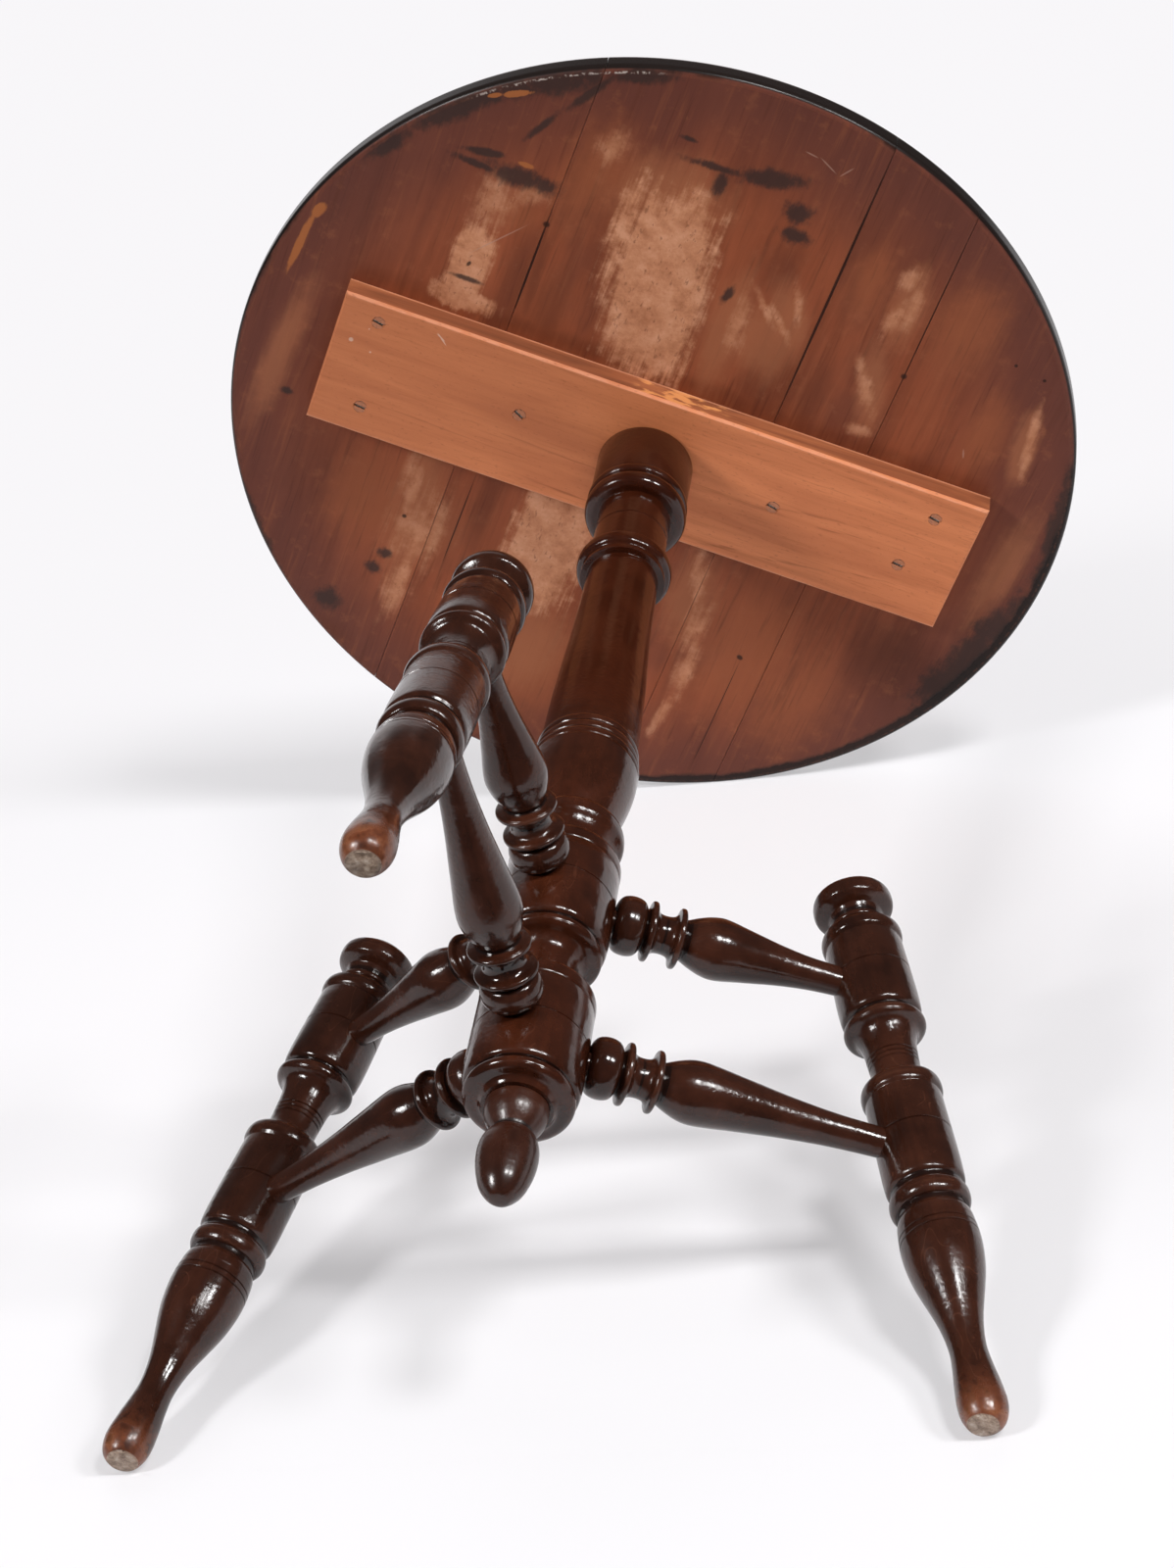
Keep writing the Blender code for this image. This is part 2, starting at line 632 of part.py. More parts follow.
def make_stretcher(name, station, hub, leg_point, leg_radius, column, leg, finish):
    """A stretcher between the column's axis and a leg's axis, and its two sockets."""
    along = leg_point - hub
    outline = stretcher_outline(along.length, leg_radius)
    stretcher = add_object(name, turned_mesh(outline, STRETCHER_SEGMENTS), finish, station)
    pose(stretcher, hub, along)
    cutter = add_object(name + "_socket_cutter", socket_cutter(along.length, leg_radius), parent=station)
    pose(cutter, hub, along)
    subtract(column, cutter)
    subtract(leg, cutter)


def make_top(column):
    """Boards, batten, screws and the wedged tenon that holds the column."""
    boards = make_boards(material("board_wood", (0.17, 0.058, 0.026), 0.45))
    batten = make_batten(material("batten_wood", (0.40, 0.15, 0.06), 0.55))
    steel = material("screw_steel", (0.20, 0.18, 0.16), 0.45, 1.0)
    for index, (place, angle) in enumerate(zip(SCREW_PLACES, SCREW_SLOT_ANGLES), start=1):
        make_screw(index, place, angle, steel)
        hole = make_screw_hole(index, place)
        subtract(batten, hole)
        for board, left, right in zip(boards, BOARD_EDGES, BOARD_EDGES[1:]):
            if left < place[0] + SCREW_SHANK_RADIUS and place[0] - SCREW_SHANK_RADIUS < right:
                subtract(board, hole)
    mortise = Lathe(TENON_RADIUS + FIT_GAP, -CUTTER_OVERRUN)
    mortise.line(BATTEN_THICKNESS + 2 * CUTTER_OVERRUN)
    mortise_cutter = add_object("mortise_cutter", turned_mesh(mortise.points, COLUMN_SEGMENTS))
    mortise_cutter.location.z = BATTEN_UNDERSIDE
    subtract(batten, mortise_cutter)
    wedge = add_object("tenon_wedge", wedge_mesh(), material("wedge_wood", (0.45, 0.24, 0.11), 0.6))
    wedge.location.z = BATTEN_TOP
    kerf = add_object("kerf_cutter", wedge_mesh(FIT_GAP, CUTTER_OVERRUN))
    kerf.location = wedge.location
    subtract(column, kerf)


def build():
    for leftover in list(bpy.data.objects):
        bpy.data.objects.remove(leftover)

    finial_points, shoulder = finial_outline()
    finial_finish = material("finial_wood", (0.030, 0.009, 0.006), 0.22)
    finial = add_object("drop_finial", turned_mesh(finial_points, LEG_SEGMENTS), finial_finish)
    finial.location.z = FINIAL_CLEARANCE

    bottom = FINIAL_CLEARANCE + shoulder + FIT_GAP
    column_points, lower_tier, upper_tier = column_outline(bottom)
    column_finish = material("column_wood", (0.060, 0.014, 0.008), 0.22)
    column = add_object("column", turned_mesh(column_points, COLUMN_SEGMENTS), column_finish)
    make_top(column)

    leg_finish = material("leg_wood", (0.030, 0.009, 0.006), 0.22)
    stretcher_finish = material("stretcher_wood", (0.035, 0.010, 0.006), 0.22)
    for index, (foot_radius, splay) in enumerate(zip(FOOT_RADII, LEG_SPLAYS), start=1):
        station = bpy.data.objects.new(f"leg_station_{index}", None)
        bpy.context.scene.collection.objects.link(station)
        station.rotation_euler.z = 2 * math.pi * (index - 1) / len(FOOT_RADII)
        leg, lower_point, upper_point = make_leg(index, station, foot_radius, splay, leg_finish)
        tiers = (
            ("lower", lower_tier, lower_point, LOWER_LEG_DRUM_RADIUS),
            ("upper", upper_tier, upper_point, UPPER_LEG_DRUM_RADIUS),
        )
        for tier, height, leg_point, leg_radius in tiers:
            make_stretcher(
                f"{tier}_stretcher_{index}",
                station,
                Vector((0, 0, height)),
                leg_point,
                leg_radius,
                column,
                leg,
                stretcher_finish,
            )


build()
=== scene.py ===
"""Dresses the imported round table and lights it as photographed: tipped over, seen from below.

The turned pieces and the top are made again from the frame's own outlines, with rounder beads,
softened edges and fine incised lines. Everything is in metres, in the frame's axes.
"""

import json
import math
from collections import namedtuple

import bmesh
import bpy
import numpy as np
from mathutils import Matrix, Vector

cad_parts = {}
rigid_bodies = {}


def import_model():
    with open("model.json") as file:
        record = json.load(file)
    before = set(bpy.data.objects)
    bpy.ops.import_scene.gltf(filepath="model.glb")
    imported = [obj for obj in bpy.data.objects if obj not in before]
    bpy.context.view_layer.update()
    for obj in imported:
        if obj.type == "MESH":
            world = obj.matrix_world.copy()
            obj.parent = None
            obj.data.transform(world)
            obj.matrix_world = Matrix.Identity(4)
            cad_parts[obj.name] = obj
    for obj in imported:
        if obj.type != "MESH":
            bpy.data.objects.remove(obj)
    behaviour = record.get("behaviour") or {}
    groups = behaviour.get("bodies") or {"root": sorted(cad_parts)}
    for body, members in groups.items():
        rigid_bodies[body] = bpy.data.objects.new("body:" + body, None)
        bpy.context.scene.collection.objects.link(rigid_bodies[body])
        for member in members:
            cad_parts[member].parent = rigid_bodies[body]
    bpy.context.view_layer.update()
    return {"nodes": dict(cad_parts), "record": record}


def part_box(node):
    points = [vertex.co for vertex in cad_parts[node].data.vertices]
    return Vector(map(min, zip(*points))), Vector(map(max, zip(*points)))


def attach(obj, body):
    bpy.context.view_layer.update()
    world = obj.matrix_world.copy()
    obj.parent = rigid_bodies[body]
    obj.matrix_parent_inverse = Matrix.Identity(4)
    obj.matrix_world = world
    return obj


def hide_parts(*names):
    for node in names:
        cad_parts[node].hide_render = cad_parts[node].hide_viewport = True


MM = 0.001

# Photograph: the camera, and the floor on which the tipped table lies.
CAMERA_PLACE = Vector((-0.2018, -1.1768, -1.1094))
CAMERA_AIM = Vector((-0.0013, -0.0233, 0.3231))
CAMERA_UP = Vector((-0.3210, -0.7151, 0.6209))
CAMERA_LENS = 81.9
CAMERA_SENSOR = 36
CAMERA_REACH = 50
PHOTO_FLOOR_NORMAL = Vector((-0.4933, -0.8513, 0.1789)).normalized()
PHOTO_FLOOR_OFFSET = -0.1289
TABLE_MIDDLE = Vector((0, 0, 0.35))

# Pale floor and wall: the plain colour, the colour that takes the shading, and the plain colour's
# share near the table and far from it.
FLOOR_WHITE = (0.945, 0.93, 0.95, 1.0)
FLOOR_SHADED = (0.76, 0.75, 0.77, 1.0)
FLOOR_LIFT_NEAR = 0.48
FLOOR_LIFT_FAR = 0.96
FLOOR_NEAR = 0.45
FLOOR_FAR = 1.0
FLOOR_REACH = 8.0
FLOOR_FRONT = 0.58
STANDING_FLOOR_LEVEL = -0.2 * MM
WALL_RADIUS = 0.9 * FLOOR_REACH
WALL_SIDES = 96
WALL_HEIGHT = 3.5

# Lamps: degrees to the right of the camera's side and upward, metres away and wide, and watts.
Lamp = namedtuple("Lamp", "name turn height distance size power in_gloss")
LAMPS = (
    Lamp("high_key", 46, 57, 4.5, 0.75, 112, True),
    Lamp("low_key", 59, 41, 4.5, 0.75, 98, True),
    Lamp("fill", -62, 41, 4.5, 0.85, 124, True),
    Lamp("back", 180, 32, 3.2, 3.0, 36, False),
)
WORLD_STRENGTH = 0.08
SHEET_STRENGTH = 1.1

# Smoothing of the turned outlines.
RING_TOLERANCE = 0.03 * MM
CREST_CORNER = math.radians(80)
VALLEY_CORNER = math.radians(40)
CORNER_ROUNDING = 0.5 * MM
ROUNDING_SHARE = 0.45
SPLINE_STEPS = 6
SHORTEST_STEP = 1e-9
WOBBLE = 0.07 * MM
CREST_REACH = 5 * MM
CREST_HEIGHT = 1.5 * MM
SHARP_EDGE = math.radians(40)

# Sides round each turning, seeds of its wobble and grain, and small changes to the frame's outline.
# The finial's blunt tip is in millimetres along and outward from the frame's own.
LEG_SIDES = 72
LEG_TIP_REACH = 0.2 * MM
LEG_POLE = (-3 * MM, 1 * MM)
FOOT_ROUNDING = 0.5 * MM
STRETCHER_SIDES = 56
UPPER_SEED = 10
LOWER_SEED = 20
COLUMN_SIDES = 96
COLUMN_SEED = 5
COLUMN_BORE_RADIUS = 9 * MM
FINIAL_SIDES = 64
FINIAL_SEED = 6
FINIAL_TIP = ((0, -4.7), (0.1, -2.4), (0.9, 0.1))
TOP_SIDES = 240
LEVEL_NORMAL = 0.999

# Incised lines, in millimetres along each turning from its foot.
LINE_WIDTH = 1.1 * MM
LINE_DEPTH = 0.9 * MM
LEG_LINES = (106.5, 110, 169.5, 216, 218.7, 221.4, 275.5)
COLUMN_LINES = (144.5, 187.5, 191.5, 250.5, 577)

# The flange under the column's vase, hollowed below its lip: heights and radii in millimetres.
FLANGE = (
    (283, 24.2),
    (285.5, 23.2),
    (288.5, 23.0),
    (292, 23.6),
    (295.5, 25.2),
    (298, 27.0),
    (299.6, 27.8),
    (302.5, 28.1),
    (306, 27.7),
    (308.2, 26.4),
    (309, 24.6),
)

# Marks on the underside: an oval's middle, half width and half length, turned about Z.
# Millimetres and degrees; the boards' grain runs along Y and the batten's along X.
Mark = namedtuple("Mark", "x y wide long turn")
BARE_WOOD = (
    Mark(-33, -108, 29, 66, -9.5),
    Mark(-139, -80, 13.5, 28, 0),
    Mark(-136, -58, 21, 8, 0),
    Mark(-35, 88, 26, 50, 0),
)
FADED_WOOD = (
    Mark(-45, -168, 38, 30, -5),
    Mark(14, -96, 14, 46, -3),
    Mark(38, -100, 22, 30, 0),
    Mark(106, -152, 12, 30, -4),
    Mark(106, -95, 10, 34, -15),
    Mark(45, -118, 13, 32, -25),
    Mark(-226, 20, 10, 60, 4),
    Mark(204, -90, 8, 28, -10),
    Mark(226, -5, 12, 50, 5),
    Mark(-118, 95, 16, 70, -3),
    Mark(-25, 165, 26, 40, 0),
    Mark(60, 90, 16, 40, -5),
)
SCRAPED_WOOD = (
    Mark(99, -170, 6, 9, 10),
    Mark(109, -152, 4, 20, 0),
    Mark(101, -143, 5, 14, 15),
    Mark(95, -106, 4, 10, -38),
    Mark(104, -92, 5, 17, -32),
    Mark(110, -64, 8, 4, 0),
    Mark(31, -120, 3, 17, -42),
    Mark(42, -114, 3, 14, -42),
    Mark(46, -132, 3, 14, -20),
    Mark(20, -104, 6, 22, -6),
    Mark(206, -96, 3, 22, -10),
    Mark(-84, -186, 10, 12, 30),
    Mark(-118, -140, 8, 10, 40),
    Mark(-138, -126, 13, 22, 0),
    Mark(-126, 78, 6, 26, -10),
    Mark(-110, 108, 16, 30, 0),
    Mark(-113, 155, 9, 26, 0),
    Mark(60, 75, 6, 24, -12),
    Mark(70, 112, 7, 26, -8),
    Mark(75, 145, 6, 28, 0),
    Mark(73, 182, 4, 20, 4),
)
PALE_SCRATCHES = (
    Mark(20, -224, 5, 0.6, 8),
    Mark(31, -221, 8, 0.6, 28),
    Mark(42, -221, 6, 0.6, -55),
    Mark(173, -73, 0.7, 4, -20),
    Mark(-128, -104, 0.6, 24, 40),
)
WARM_WOOD = (
    Mark(-90, -160, 22, 50, 0),
    Mark(80, -160, 18, 36, 0),
    Mark(145, -155, 28, 40, 0),
    Mark(180, -92, 16, 36, 0),
    Mark(-150, 100, 30, 40, 0),
    Mark(140, 140, 40, 50, 0),
    Mark(-20, 190, 40, 50, 0),
    Mark(-122, -125, 14, 14, 0),
    Mark(-100, 105, 22, 34, 0),
    Mark(100, 120, 50, 60, 0),
)
DARK_WOOD_AND_BATTEN_SHADE = (
    # The first mark is painted shade in a strip along the batten's edge; the others are darker wood.
    Mark(0, -54, 215, 9, 0),
    Mark(50, -72, 20, 38, 0),
    Mark(75, -70, 16, 40, 0),
    Mark(30, -150, 14, 25, 0),
    Mark(-110, -85, 8, 40, 0),
    Mark(-85, -75, 12, 40, 0),
    Mark(-80, 72, 10, 40, 0),
    Mark(190, 80, 30, 40, 0),
    Mark(-101, -94, 4, 44, -6),
    Mark(-140, 205, 20, 14, 30),
)
BLACK_STROKES = (
    Mark(-128, -147, 25, 8, 0),
    Mark(-114, -147, 9, 7, 0),
    Mark(-154, -146, 20, 3, 3),
    Mark(-152, -155, 16, 3, -10),
    Mark(5, -201, 23, 8, -13),
    Mark(-26, -196, 22, 3, -3),
    Mark(-22, -187, 5, 10, 0),
    Mark(-47, -207, 6, 2, 0),
    Mark(26, -186, 10, 8, 0),
    Mark(30, -172, 12, 6, 0),
    Mark(7, -121, 3, 8, 12),
    Mark(-127, -183, 18, 2.6, -62),
    Mark(-106, -216, 24, 3, -58),
    Mark(-128, -213, 42, 10, -32),
    Mark(-172, -178, 44, 8, -45),
    Mark(-84, -234, 24, 6, -20),
    Mark(-204, -140, 20, 6, -56),
    Mark(234, 60, 14, 66, 14),
    Mark(226, 86, 15, 34, 20),
    Mark(210, 148, 7, 60, 35),
    Mark(162, 200, 6, 60, 51),
    Mark(92, 238, 60, 5, -22),
    Mark(246, -40, 8, 80, -9),
    Mark(-205, 150, 6, 60, -36),
    Mark(-150, 181, 11, 10, 0),
    Mark(-130, 148, 7, 6, 0),
    Mark(-126, 135, 5, 5, 0),
    Mark(-215, 44, 5, 3, 0),
    Mark(-138, -72, 14, 2, 0),
)
CRACKS = (
    Mark(62, -150, 1.2, 110, 0),
    Mark(121, -150, 0.5, 80, 0),
    Mark(-105, -95, 1.0, 45, 0),
    Mark(-91, 95, 0.6, 45, 0),
    Mark(104, 168, 0.45, 58, 0),
)
HOLES = (
    Mark(-105, -124, 2.6, 2.4, 0),
    Mark(121, -109, 2.4, 2.4, 0),
    Mark(-123, 103, 1.8, 1.8, 0),
    Mark(103, 121, 2.8, 2.2, 30),
    Mark(-139, -82, 1.4, 2.4, 20),
    Mark(178, -141, 1.4, 1.4, 0),
    Mark(197, -138, 1.4, 1.4, 0),
)
# Where the rim's arris shows pale worn specks together with a painted glint.
WORN_GLINTING_RIM = (Mark(-125, -220, 80, 14, -30),)
ORANGE_CHIPS = (
    Mark(-235, -58, 3, 28, 6),
    Mark(-231, -82, 4, 7, 20),
    Mark(-146, -197, 10, 2.2, -28),
    Mark(-158, -191, 5, 1.6, -30),
    Mark(-128, -156, 5, 2, 0),
)
# The batten lies a little askew, and its middle a little to one side.
BATTEN_SKEW = math.radians(-0.7)
BATTEN_SHIFT = -2.3 * MM
BATTEN_STREAKS = (
    Mark(98, -6, 34, 1.3, -8),
    Mark(120, -1, 24, 1.0, -8),
    Mark(70, 1, 20, 2.2, -4),
    Mark(105, 31, 40, 1.4, -9),
    Mark(150, 22, 34, 1.2, -8),
    Mark(62, 36, 22, 1.5, -12),
    Mark(168, 36, 26, 1.2, -8),
    Mark(-120, 22, 60, 1.0, 1),
    Mark(-60, 12, 50, 1.0, 2),
    Mark(-52, 36, 34, 1.2, 2),
)
BATTEN_CHIPS = (
    Mark(-189, -16, 1.7, 1.7, 0),
    Mark(-176, -12, 0.8, 0.8, 0),
    Mark(-181, -27, 0.6, 0.6, 0),
    Mark(-139, -37, 5.5, 0.5, 42),
    Mark(-140, -38, 4, 0.5, 30),
)

# Colours are linear red, green and blue, and a ramp's stops each have a place and a colour.
# The turnings' polish has a dark and a warm tone, and the wood where it is rubbed through.
Polish = namedtuple("Polish", "dark warm worn")
LEG_POLISH = Polish((0.017, 0.0052, 0.0029), (0.043, 0.0125, 0.0062), (0.085, 0.030, 0.016))
COLUMN_POLISH = Polish((0.021, 0.0054, 0.0024), (0.052, 0.0125, 0.0050), (0.085, 0.026, 0.013))
PLAIN_POLISH = Polish((0.020, 0.0058, 0.0031), (0.047, 0.0134, 0.0066), (0.085, 0.030, 0.016))
DARK_STOP = 0.36
WARM_STOP = 0.64
# Dirt and painted shade: the colour that darkens the quirks between the beads.
QUIRK_DIRT_AND_SHADE = (0.004, 0.002, 0.0018)
FINIAL_DULLNESS = 0.12

# The column is redder from the foot of its shaft upward.
SHAFT_RED = ((DARK_STOP, (0.021, 0.0040, 0.0014)), (WARM_STOP, (0.041, 0.0084, 0.0029)))
RED_FROM = 378 * MM
RED_ABOVE = 400 * MM

# The feet are scuffed, and bare on their flats.
SCUFFED_FOOT = (
    (0.36, (0.045, 0.012, 0.005)),
    (0.52, (0.135, 0.038, 0.015)),
    (0.7, (0.31, 0.115, 0.052)),
)
BARE_FLAT = (
    (0.34, (0.13, 0.082, 0.056)),
    (0.5, (0.30, 0.215, 0.160)),
    (0.68, (0.50, 0.41, 0.34)),
)
SCUFFED_UP_TO = 27 * MM
SCUFFED_BELOW = 8 * MM
SCUFF_RAGGEDNESS = 70 * MM
FLAT_UP_TO = 0.7 * MM
FLAT_BELOW = 0.2 * MM

# The batten: planed below, sawn at its sides, with broken arrises that also carry a painted
# highlight, and painted shade toward one end.
BATTEN_PLANED = (
    (0.30, (0.49, 0.151, 0.058)),
    (0.5, (0.58, 0.187, 0.073)),
    (0.7, (0.66, 0.224, 0.089)),
)
BATTEN_SAWN = (
    (0.32, (0.14, 0.041, 0.017)),
    (0.5, (0.24, 0.072, 0.029)),
    (0.7, (0.37, 0.123, 0.047)),
)
BATTEN_CLOUD = (0.37, 0.108, 0.042)
BATTEN_PORE = (0.28, 0.080, 0.032)
BATTEN_STREAK = (0.23, 0.062, 0.024)
BATTEN_CHIP = (0.78, 0.62, 0.50)
# Painted shade: the colour the batten takes toward its -X end, where less lamp light falls.
BATTEN_PAINTED_SHADE = (0.37, 0.115, 0.045)
BATTEN_SPECK = (0.27, 0.080, 0.032)
# The arrises: wood worn lighter, together with a painted highlight along the edge.
BATTEN_WORN_ARRIS_HIGHLIGHT = (0.60, 0.26, 0.15)
BATTEN_TORN = (0.56, 0.22, 0.075)
BATTEN_UPPER_ARRIS_HIGHLIGHT = (0.58, 0.25, 0.14)
# Where the painted shade on the batten starts and is full, along it.
PAINTED_SHADE_FROM = 40 * MM
PAINTED_SHADE_TO = -210 * MM
ARRIS_SPAN = (43.8 * MM, 44.4 * MM)
SAWN_SPAN = (656.0 * MM, 656.4 * MM)
UPPER_ARRIS_SPAN = (668.0 * MM, 669.0 * MM)
TORN_MIDDLE = 6 * MM
TORN_SPAN = (32 * MM, 20 * MM)

# The top's underside.
UNDERSIDE_WOOD = (
    (0.3, (0.180, 0.045, 0.019)),
    (0.5, (0.245, 0.062, 0.025)),
    (0.7, (0.315, 0.083, 0.034)),
)
BARE_TONES = (
    (0.34, (0.40, 0.154, 0.075)),
    (0.5, (0.54, 0.232, 0.120)),
    (0.66, (0.64, 0.308, 0.178)),
)
DIM_CLOUD = (0.128, 0.036, 0.020)
DIM_RIM = (0.100, 0.032, 0.024)
DIM_RIM_SPAN = (165 * MM, 245 * MM)
DIM_RIM_RAGGEDNESS = 80 * MM
WARM_TINT = (0.285, 0.082, 0.033)
# Tint of the darker wood and of the painted shade beside the batten.
DARK_WOOD_AND_SHADE_TINT = (0.105, 0.027, 0.012)
DARK_STREAK = (0.095, 0.026, 0.013)
PALE_STREAK = (0.31, 0.095, 0.040)
PALE_MOTTLE = (0.30, 0.098, 0.045)
DARK_PORE = (0.065, 0.019, 0.010)
BARE_SPECK = (0.165, 0.058, 0.030)
FADED_TINT = (0.37, 0.132, 0.060)
STROKE_BLACK = (0.036, 0.020, 0.017)
SCRATCH_TINT = (0.42, 0.25, 0.19)
CHIP_ORANGE = (0.38, 0.122, 0.036)
CRACK_DARK = (0.014, 0.006, 0.004)

# The top's painted rim, which spreads inward on one side, and its polished upper face.
RIM_PAINT = (0.013, 0.009, 0.008)
RIM_RUBBED = (0.10, 0.036, 0.022)
# Pale worn specks on the rim's arris, with a painted glint.
RIM_SPECKS_AND_GLINTS = (0.46, 0.40, 0.36)
RIM_PAINT_SPAN = (251 * MM, 254.5 * MM)
RIM_EDGE_SPAN = (252.0 * MM, 253.0 * MM)
RIM_ARRIS_INNER = (249.6 * MM, 250.4 * MM)
RIM_ARRIS_OUTER = (251.6 * MM, 250.8 * MM)
RIM_SPREAD = 7 * MM
RIM_SPREAD_X = (-60 * MM, 150 * MM)
RIM_SPREAD_Y = (-150 * MM, 60 * MM)
RIM_RAGGEDNESS = 6 * MM
RIM_WAVINESS = 8 * MM
UPPER_POLISH = (
    (0.3, (0.050, 0.013, 0.007)),
    (0.5, (0.085, 0.023, 0.011)),
    (0.7, (0.135, 0.041, 0.019)),
)
UPPER_PORE = (0.022, 0.007, 0.004)
UPPER_SPAN = (681.2 * MM, 683.2 * MM)

# The screws' heads and their slots.
SCREW_FACE = ((0.35, (0.46, 0.155, 0.066)), (0.65, (0.33, 0.125, 0.060)))
SCREW_SLOT = ((0.35, (0.05, 0.04, 0.036)), (0.6, (0.46, 0.42, 0.39)))
SLOT_SPAN = (654.5 * MM, 655.0 * MM)


class Nodes:
    """Builds the nodes of a material or world; an input is a socket or a plain value."""

    def __init__(self, owner):
        owner.use_nodes = True
        self.tree = owner.node_tree
        self.shader = self.tree.nodes.get("Principled BSDF") or self.tree.nodes.get("Background")

    def put(self, node, inputs):
        for key, value in inputs.items():
            socket = node.inputs[key]
            if isinstance(value, bpy.types.NodeSocket):
                self.tree.links.new(value, socket)
            else:
                socket.default_value = value
        return node

    def add(self, kind, inputs, **settings):
        node = self.tree.nodes.new("ShaderNode" + kind)
        for key, value in settings.items():
            setattr(node, key, value)
        return self.put(node, inputs)

    def attribute(self, name, output="Vector"):
        return self.add("Attribute", {}, attribute_name=name).outputs[output]

    def place(self):
        """Where a point lies on the object, in metres."""
        return self.add("TexCoord", {}).outputs["Object"]

    def axis(self, vector, name):
        return self.add("SeparateXYZ", {"Vector": vector}).outputs[name]

    def stretch(self, vector, scale):
        return self.add("VectorMath", {0: vector, 1: scale}, operation="MULTIPLY").outputs[0]

    def length(self, vector):
        return self.add("VectorMath", {0: vector}, operation="LENGTH").outputs["Value"]

    def noise(self, vector, scale, detail=3.0, roughness=0.5, distortion=0.0):
        inputs = {
            "Vector": vector,
            "Scale": scale,
            "Detail": detail,
            "Roughness": roughness,
            "Distortion": distortion,
        }
        return self.add("TexNoise", inputs).outputs[0]

    def ramp(self, value, *stops):
        node = self.add("ValToRGB", {"Fac": value})
        elements = node.color_ramp.elements
        while len(elements) < len(stops):
            elements.new(0.5)
        for element, (place, colour) in zip(elements, stops):
            element.position = place
            element.color = (*colour, 1.0)
        return node.outputs["Color"]

    def span(self, value, low, high, to_low=0.0, to_high=1.0):
        inputs = {
            "Value": value,
            "From Min": low,
            "From Max": high,
            "To Min": to_low,
            "To Max": to_high,
        }
        return self.add("MapRange", inputs, interpolation_type="SMOOTHSTEP").outputs[0]

    def math(self, operation, first, second=0.0):
        return self.add("Math", {0: first, 1: second}, operation=operation).outputs[0]

    def scaled(self, value, factor, offset):
        return self.add("Math", {0: value, 1: factor, 2: offset}, operation="MULTIPLY_ADD").outputs[0]

    def dot(self, first, second):
        return self.add("VectorMath", {0: first, 1: second}, operation="DOT_PRODUCT").outputs["Value"]

    def marks(self, vector, marks, square=False):
        """1 in the middle of any of some marks, 0 on its edge and less beyond it; may be squarish."""
        nearest = None
        for mark in marks:
            middle = (mark.x * MM, mark.y * MM, 0)
            offset = self.add("VectorMath", {0: vector, 1: middle}, operation="SUBTRACT").outputs[0]
            cosine = math.cos(math.radians(mark.turn)) / MM
            sine = math.sin(math.radians(mark.turn)) / MM
            across = self.dot(offset, (cosine / mark.wide, sine / mark.wide, 0))
            along = self.dot(offset, (-sine / mark.long, cosine / mark.long, 0))
            local = self.add("CombineXYZ", {"X": across, "Y": along}).outputs[0]
            if square:
                away = self.math("SQRT", self.length(self.stretch(local, local)))
            else:
                away = self.length(local)
            nearest = self.math("MINIMUM", nearest, away) if nearest else away
        return self.math("SUBTRACT", 1.0, nearest)

    def shows_stage(self):
        """1 for what is seen straight on, in gloss or through glass."""
        path = self.add("LightPath", {}).outputs
        through = self.math("MAXIMUM", path["Is Glossy Ray"], path["Is Transmission Ray"])
        return self.math("MAXIMUM", path["Is Camera Ray"], through)

    def mix(self, factor, first, second):
        node = self.tree.nodes.new("ShaderNodeMix")
        node.data_type = "RGBA"
        self.put(node, {0: factor, 6: solid(first), 7: solid(second)})
        return node.outputs[2]

    def bump(self, height, strength, distance, normal=None):
        inputs = {"Height": height, "Strength": strength, "Distance": distance}
        if normal:
            inputs["Normal"] = normal
        return self.add("Bump", inputs).outputs[0]

    def finish(self, **inputs):
        named = {key.replace("_", " "): value for key, value in inputs.items()}
        self.put(self.shader, named)


def solid(colour):
    """A plain colour gets its alpha; a socket stays as it is."""
    if isinstance(colour, bpy.types.NodeSocket):
        return colour
    return (*colour, 1.0)


def points_and_edges(*names):
    """The different points of some CAD nodes, and the pairs of them that edges join."""
    points, edges, count = [], [], 0
    for name in names:
        mesh = frame["nodes"][name].data
        points += [vert.co[:] for vert in mesh.vertices]
        edges += [(edge.vertices[0] + count, edge.vertices[1] + count) for edge in mesh.edges]
        count = len(points)
    points, same = np.unique(np.round(np.array(points), 6), axis=0, return_inverse=True)
    return points, same.ravel()[np.array(edges)]


def ring_outline(points, edges, base, axis, least_radius=0.0):
    """(along, radius) of every whole ring of points round an axis, in the surface's order."""
    offset = points - np.array(base)
    along = offset @ np.array(axis)
    radius = np.linalg.norm(offset - np.outer(along, axis), axis=1)
    pairs = np.stack([along, radius], axis=1)
    ring_of = np.full(len(pairs), -1)
    rings = []
    for index in range(len(pairs)):
        if ring_of[index] < 0:
            near = np.abs(pairs - pairs[index]).max(axis=1) < RING_TOLERANCE
            ring_of[near] = len(rings)
            rings.append((near.sum(), *pairs[near].mean(axis=0)))
    most = max(ring[0] for ring in rings)
    whole = {key for key, ring in enumerate(rings) if ring[0] >= most / 2 and ring[2] > least_radius}
    joined = {key: {} for key in whole}
    for first, second in ring_of[edges]:
        if first != second and first in whole and second in whole:
            joined[first][second] = joined[first].get(second, 0) + 1
            joined[second][first] = joined[second].get(first, 0) + 1
    here = min(whole, key=lambda key: rings[key][1:])
    ordered = []
    while here is not None:
        ordered.append(rings[here][1:])
        whole.discard(here)
        onward = {key: count for key, count in joined[here].items() if key in whole}
        here = max(onward, key=onward.get) if onward else None
    return np.array(ordered)


def is_corner(before, here, after):
    """Whether an outline has a corner here: its crests are rounder than its valleys."""
    first = here - before
    second = after - here
    turn = math.atan2(first[0] * second[1] - first[1] * second[0], first @ second)
    return turn < -CREST_CORNER or turn > VALLEY_CORNER


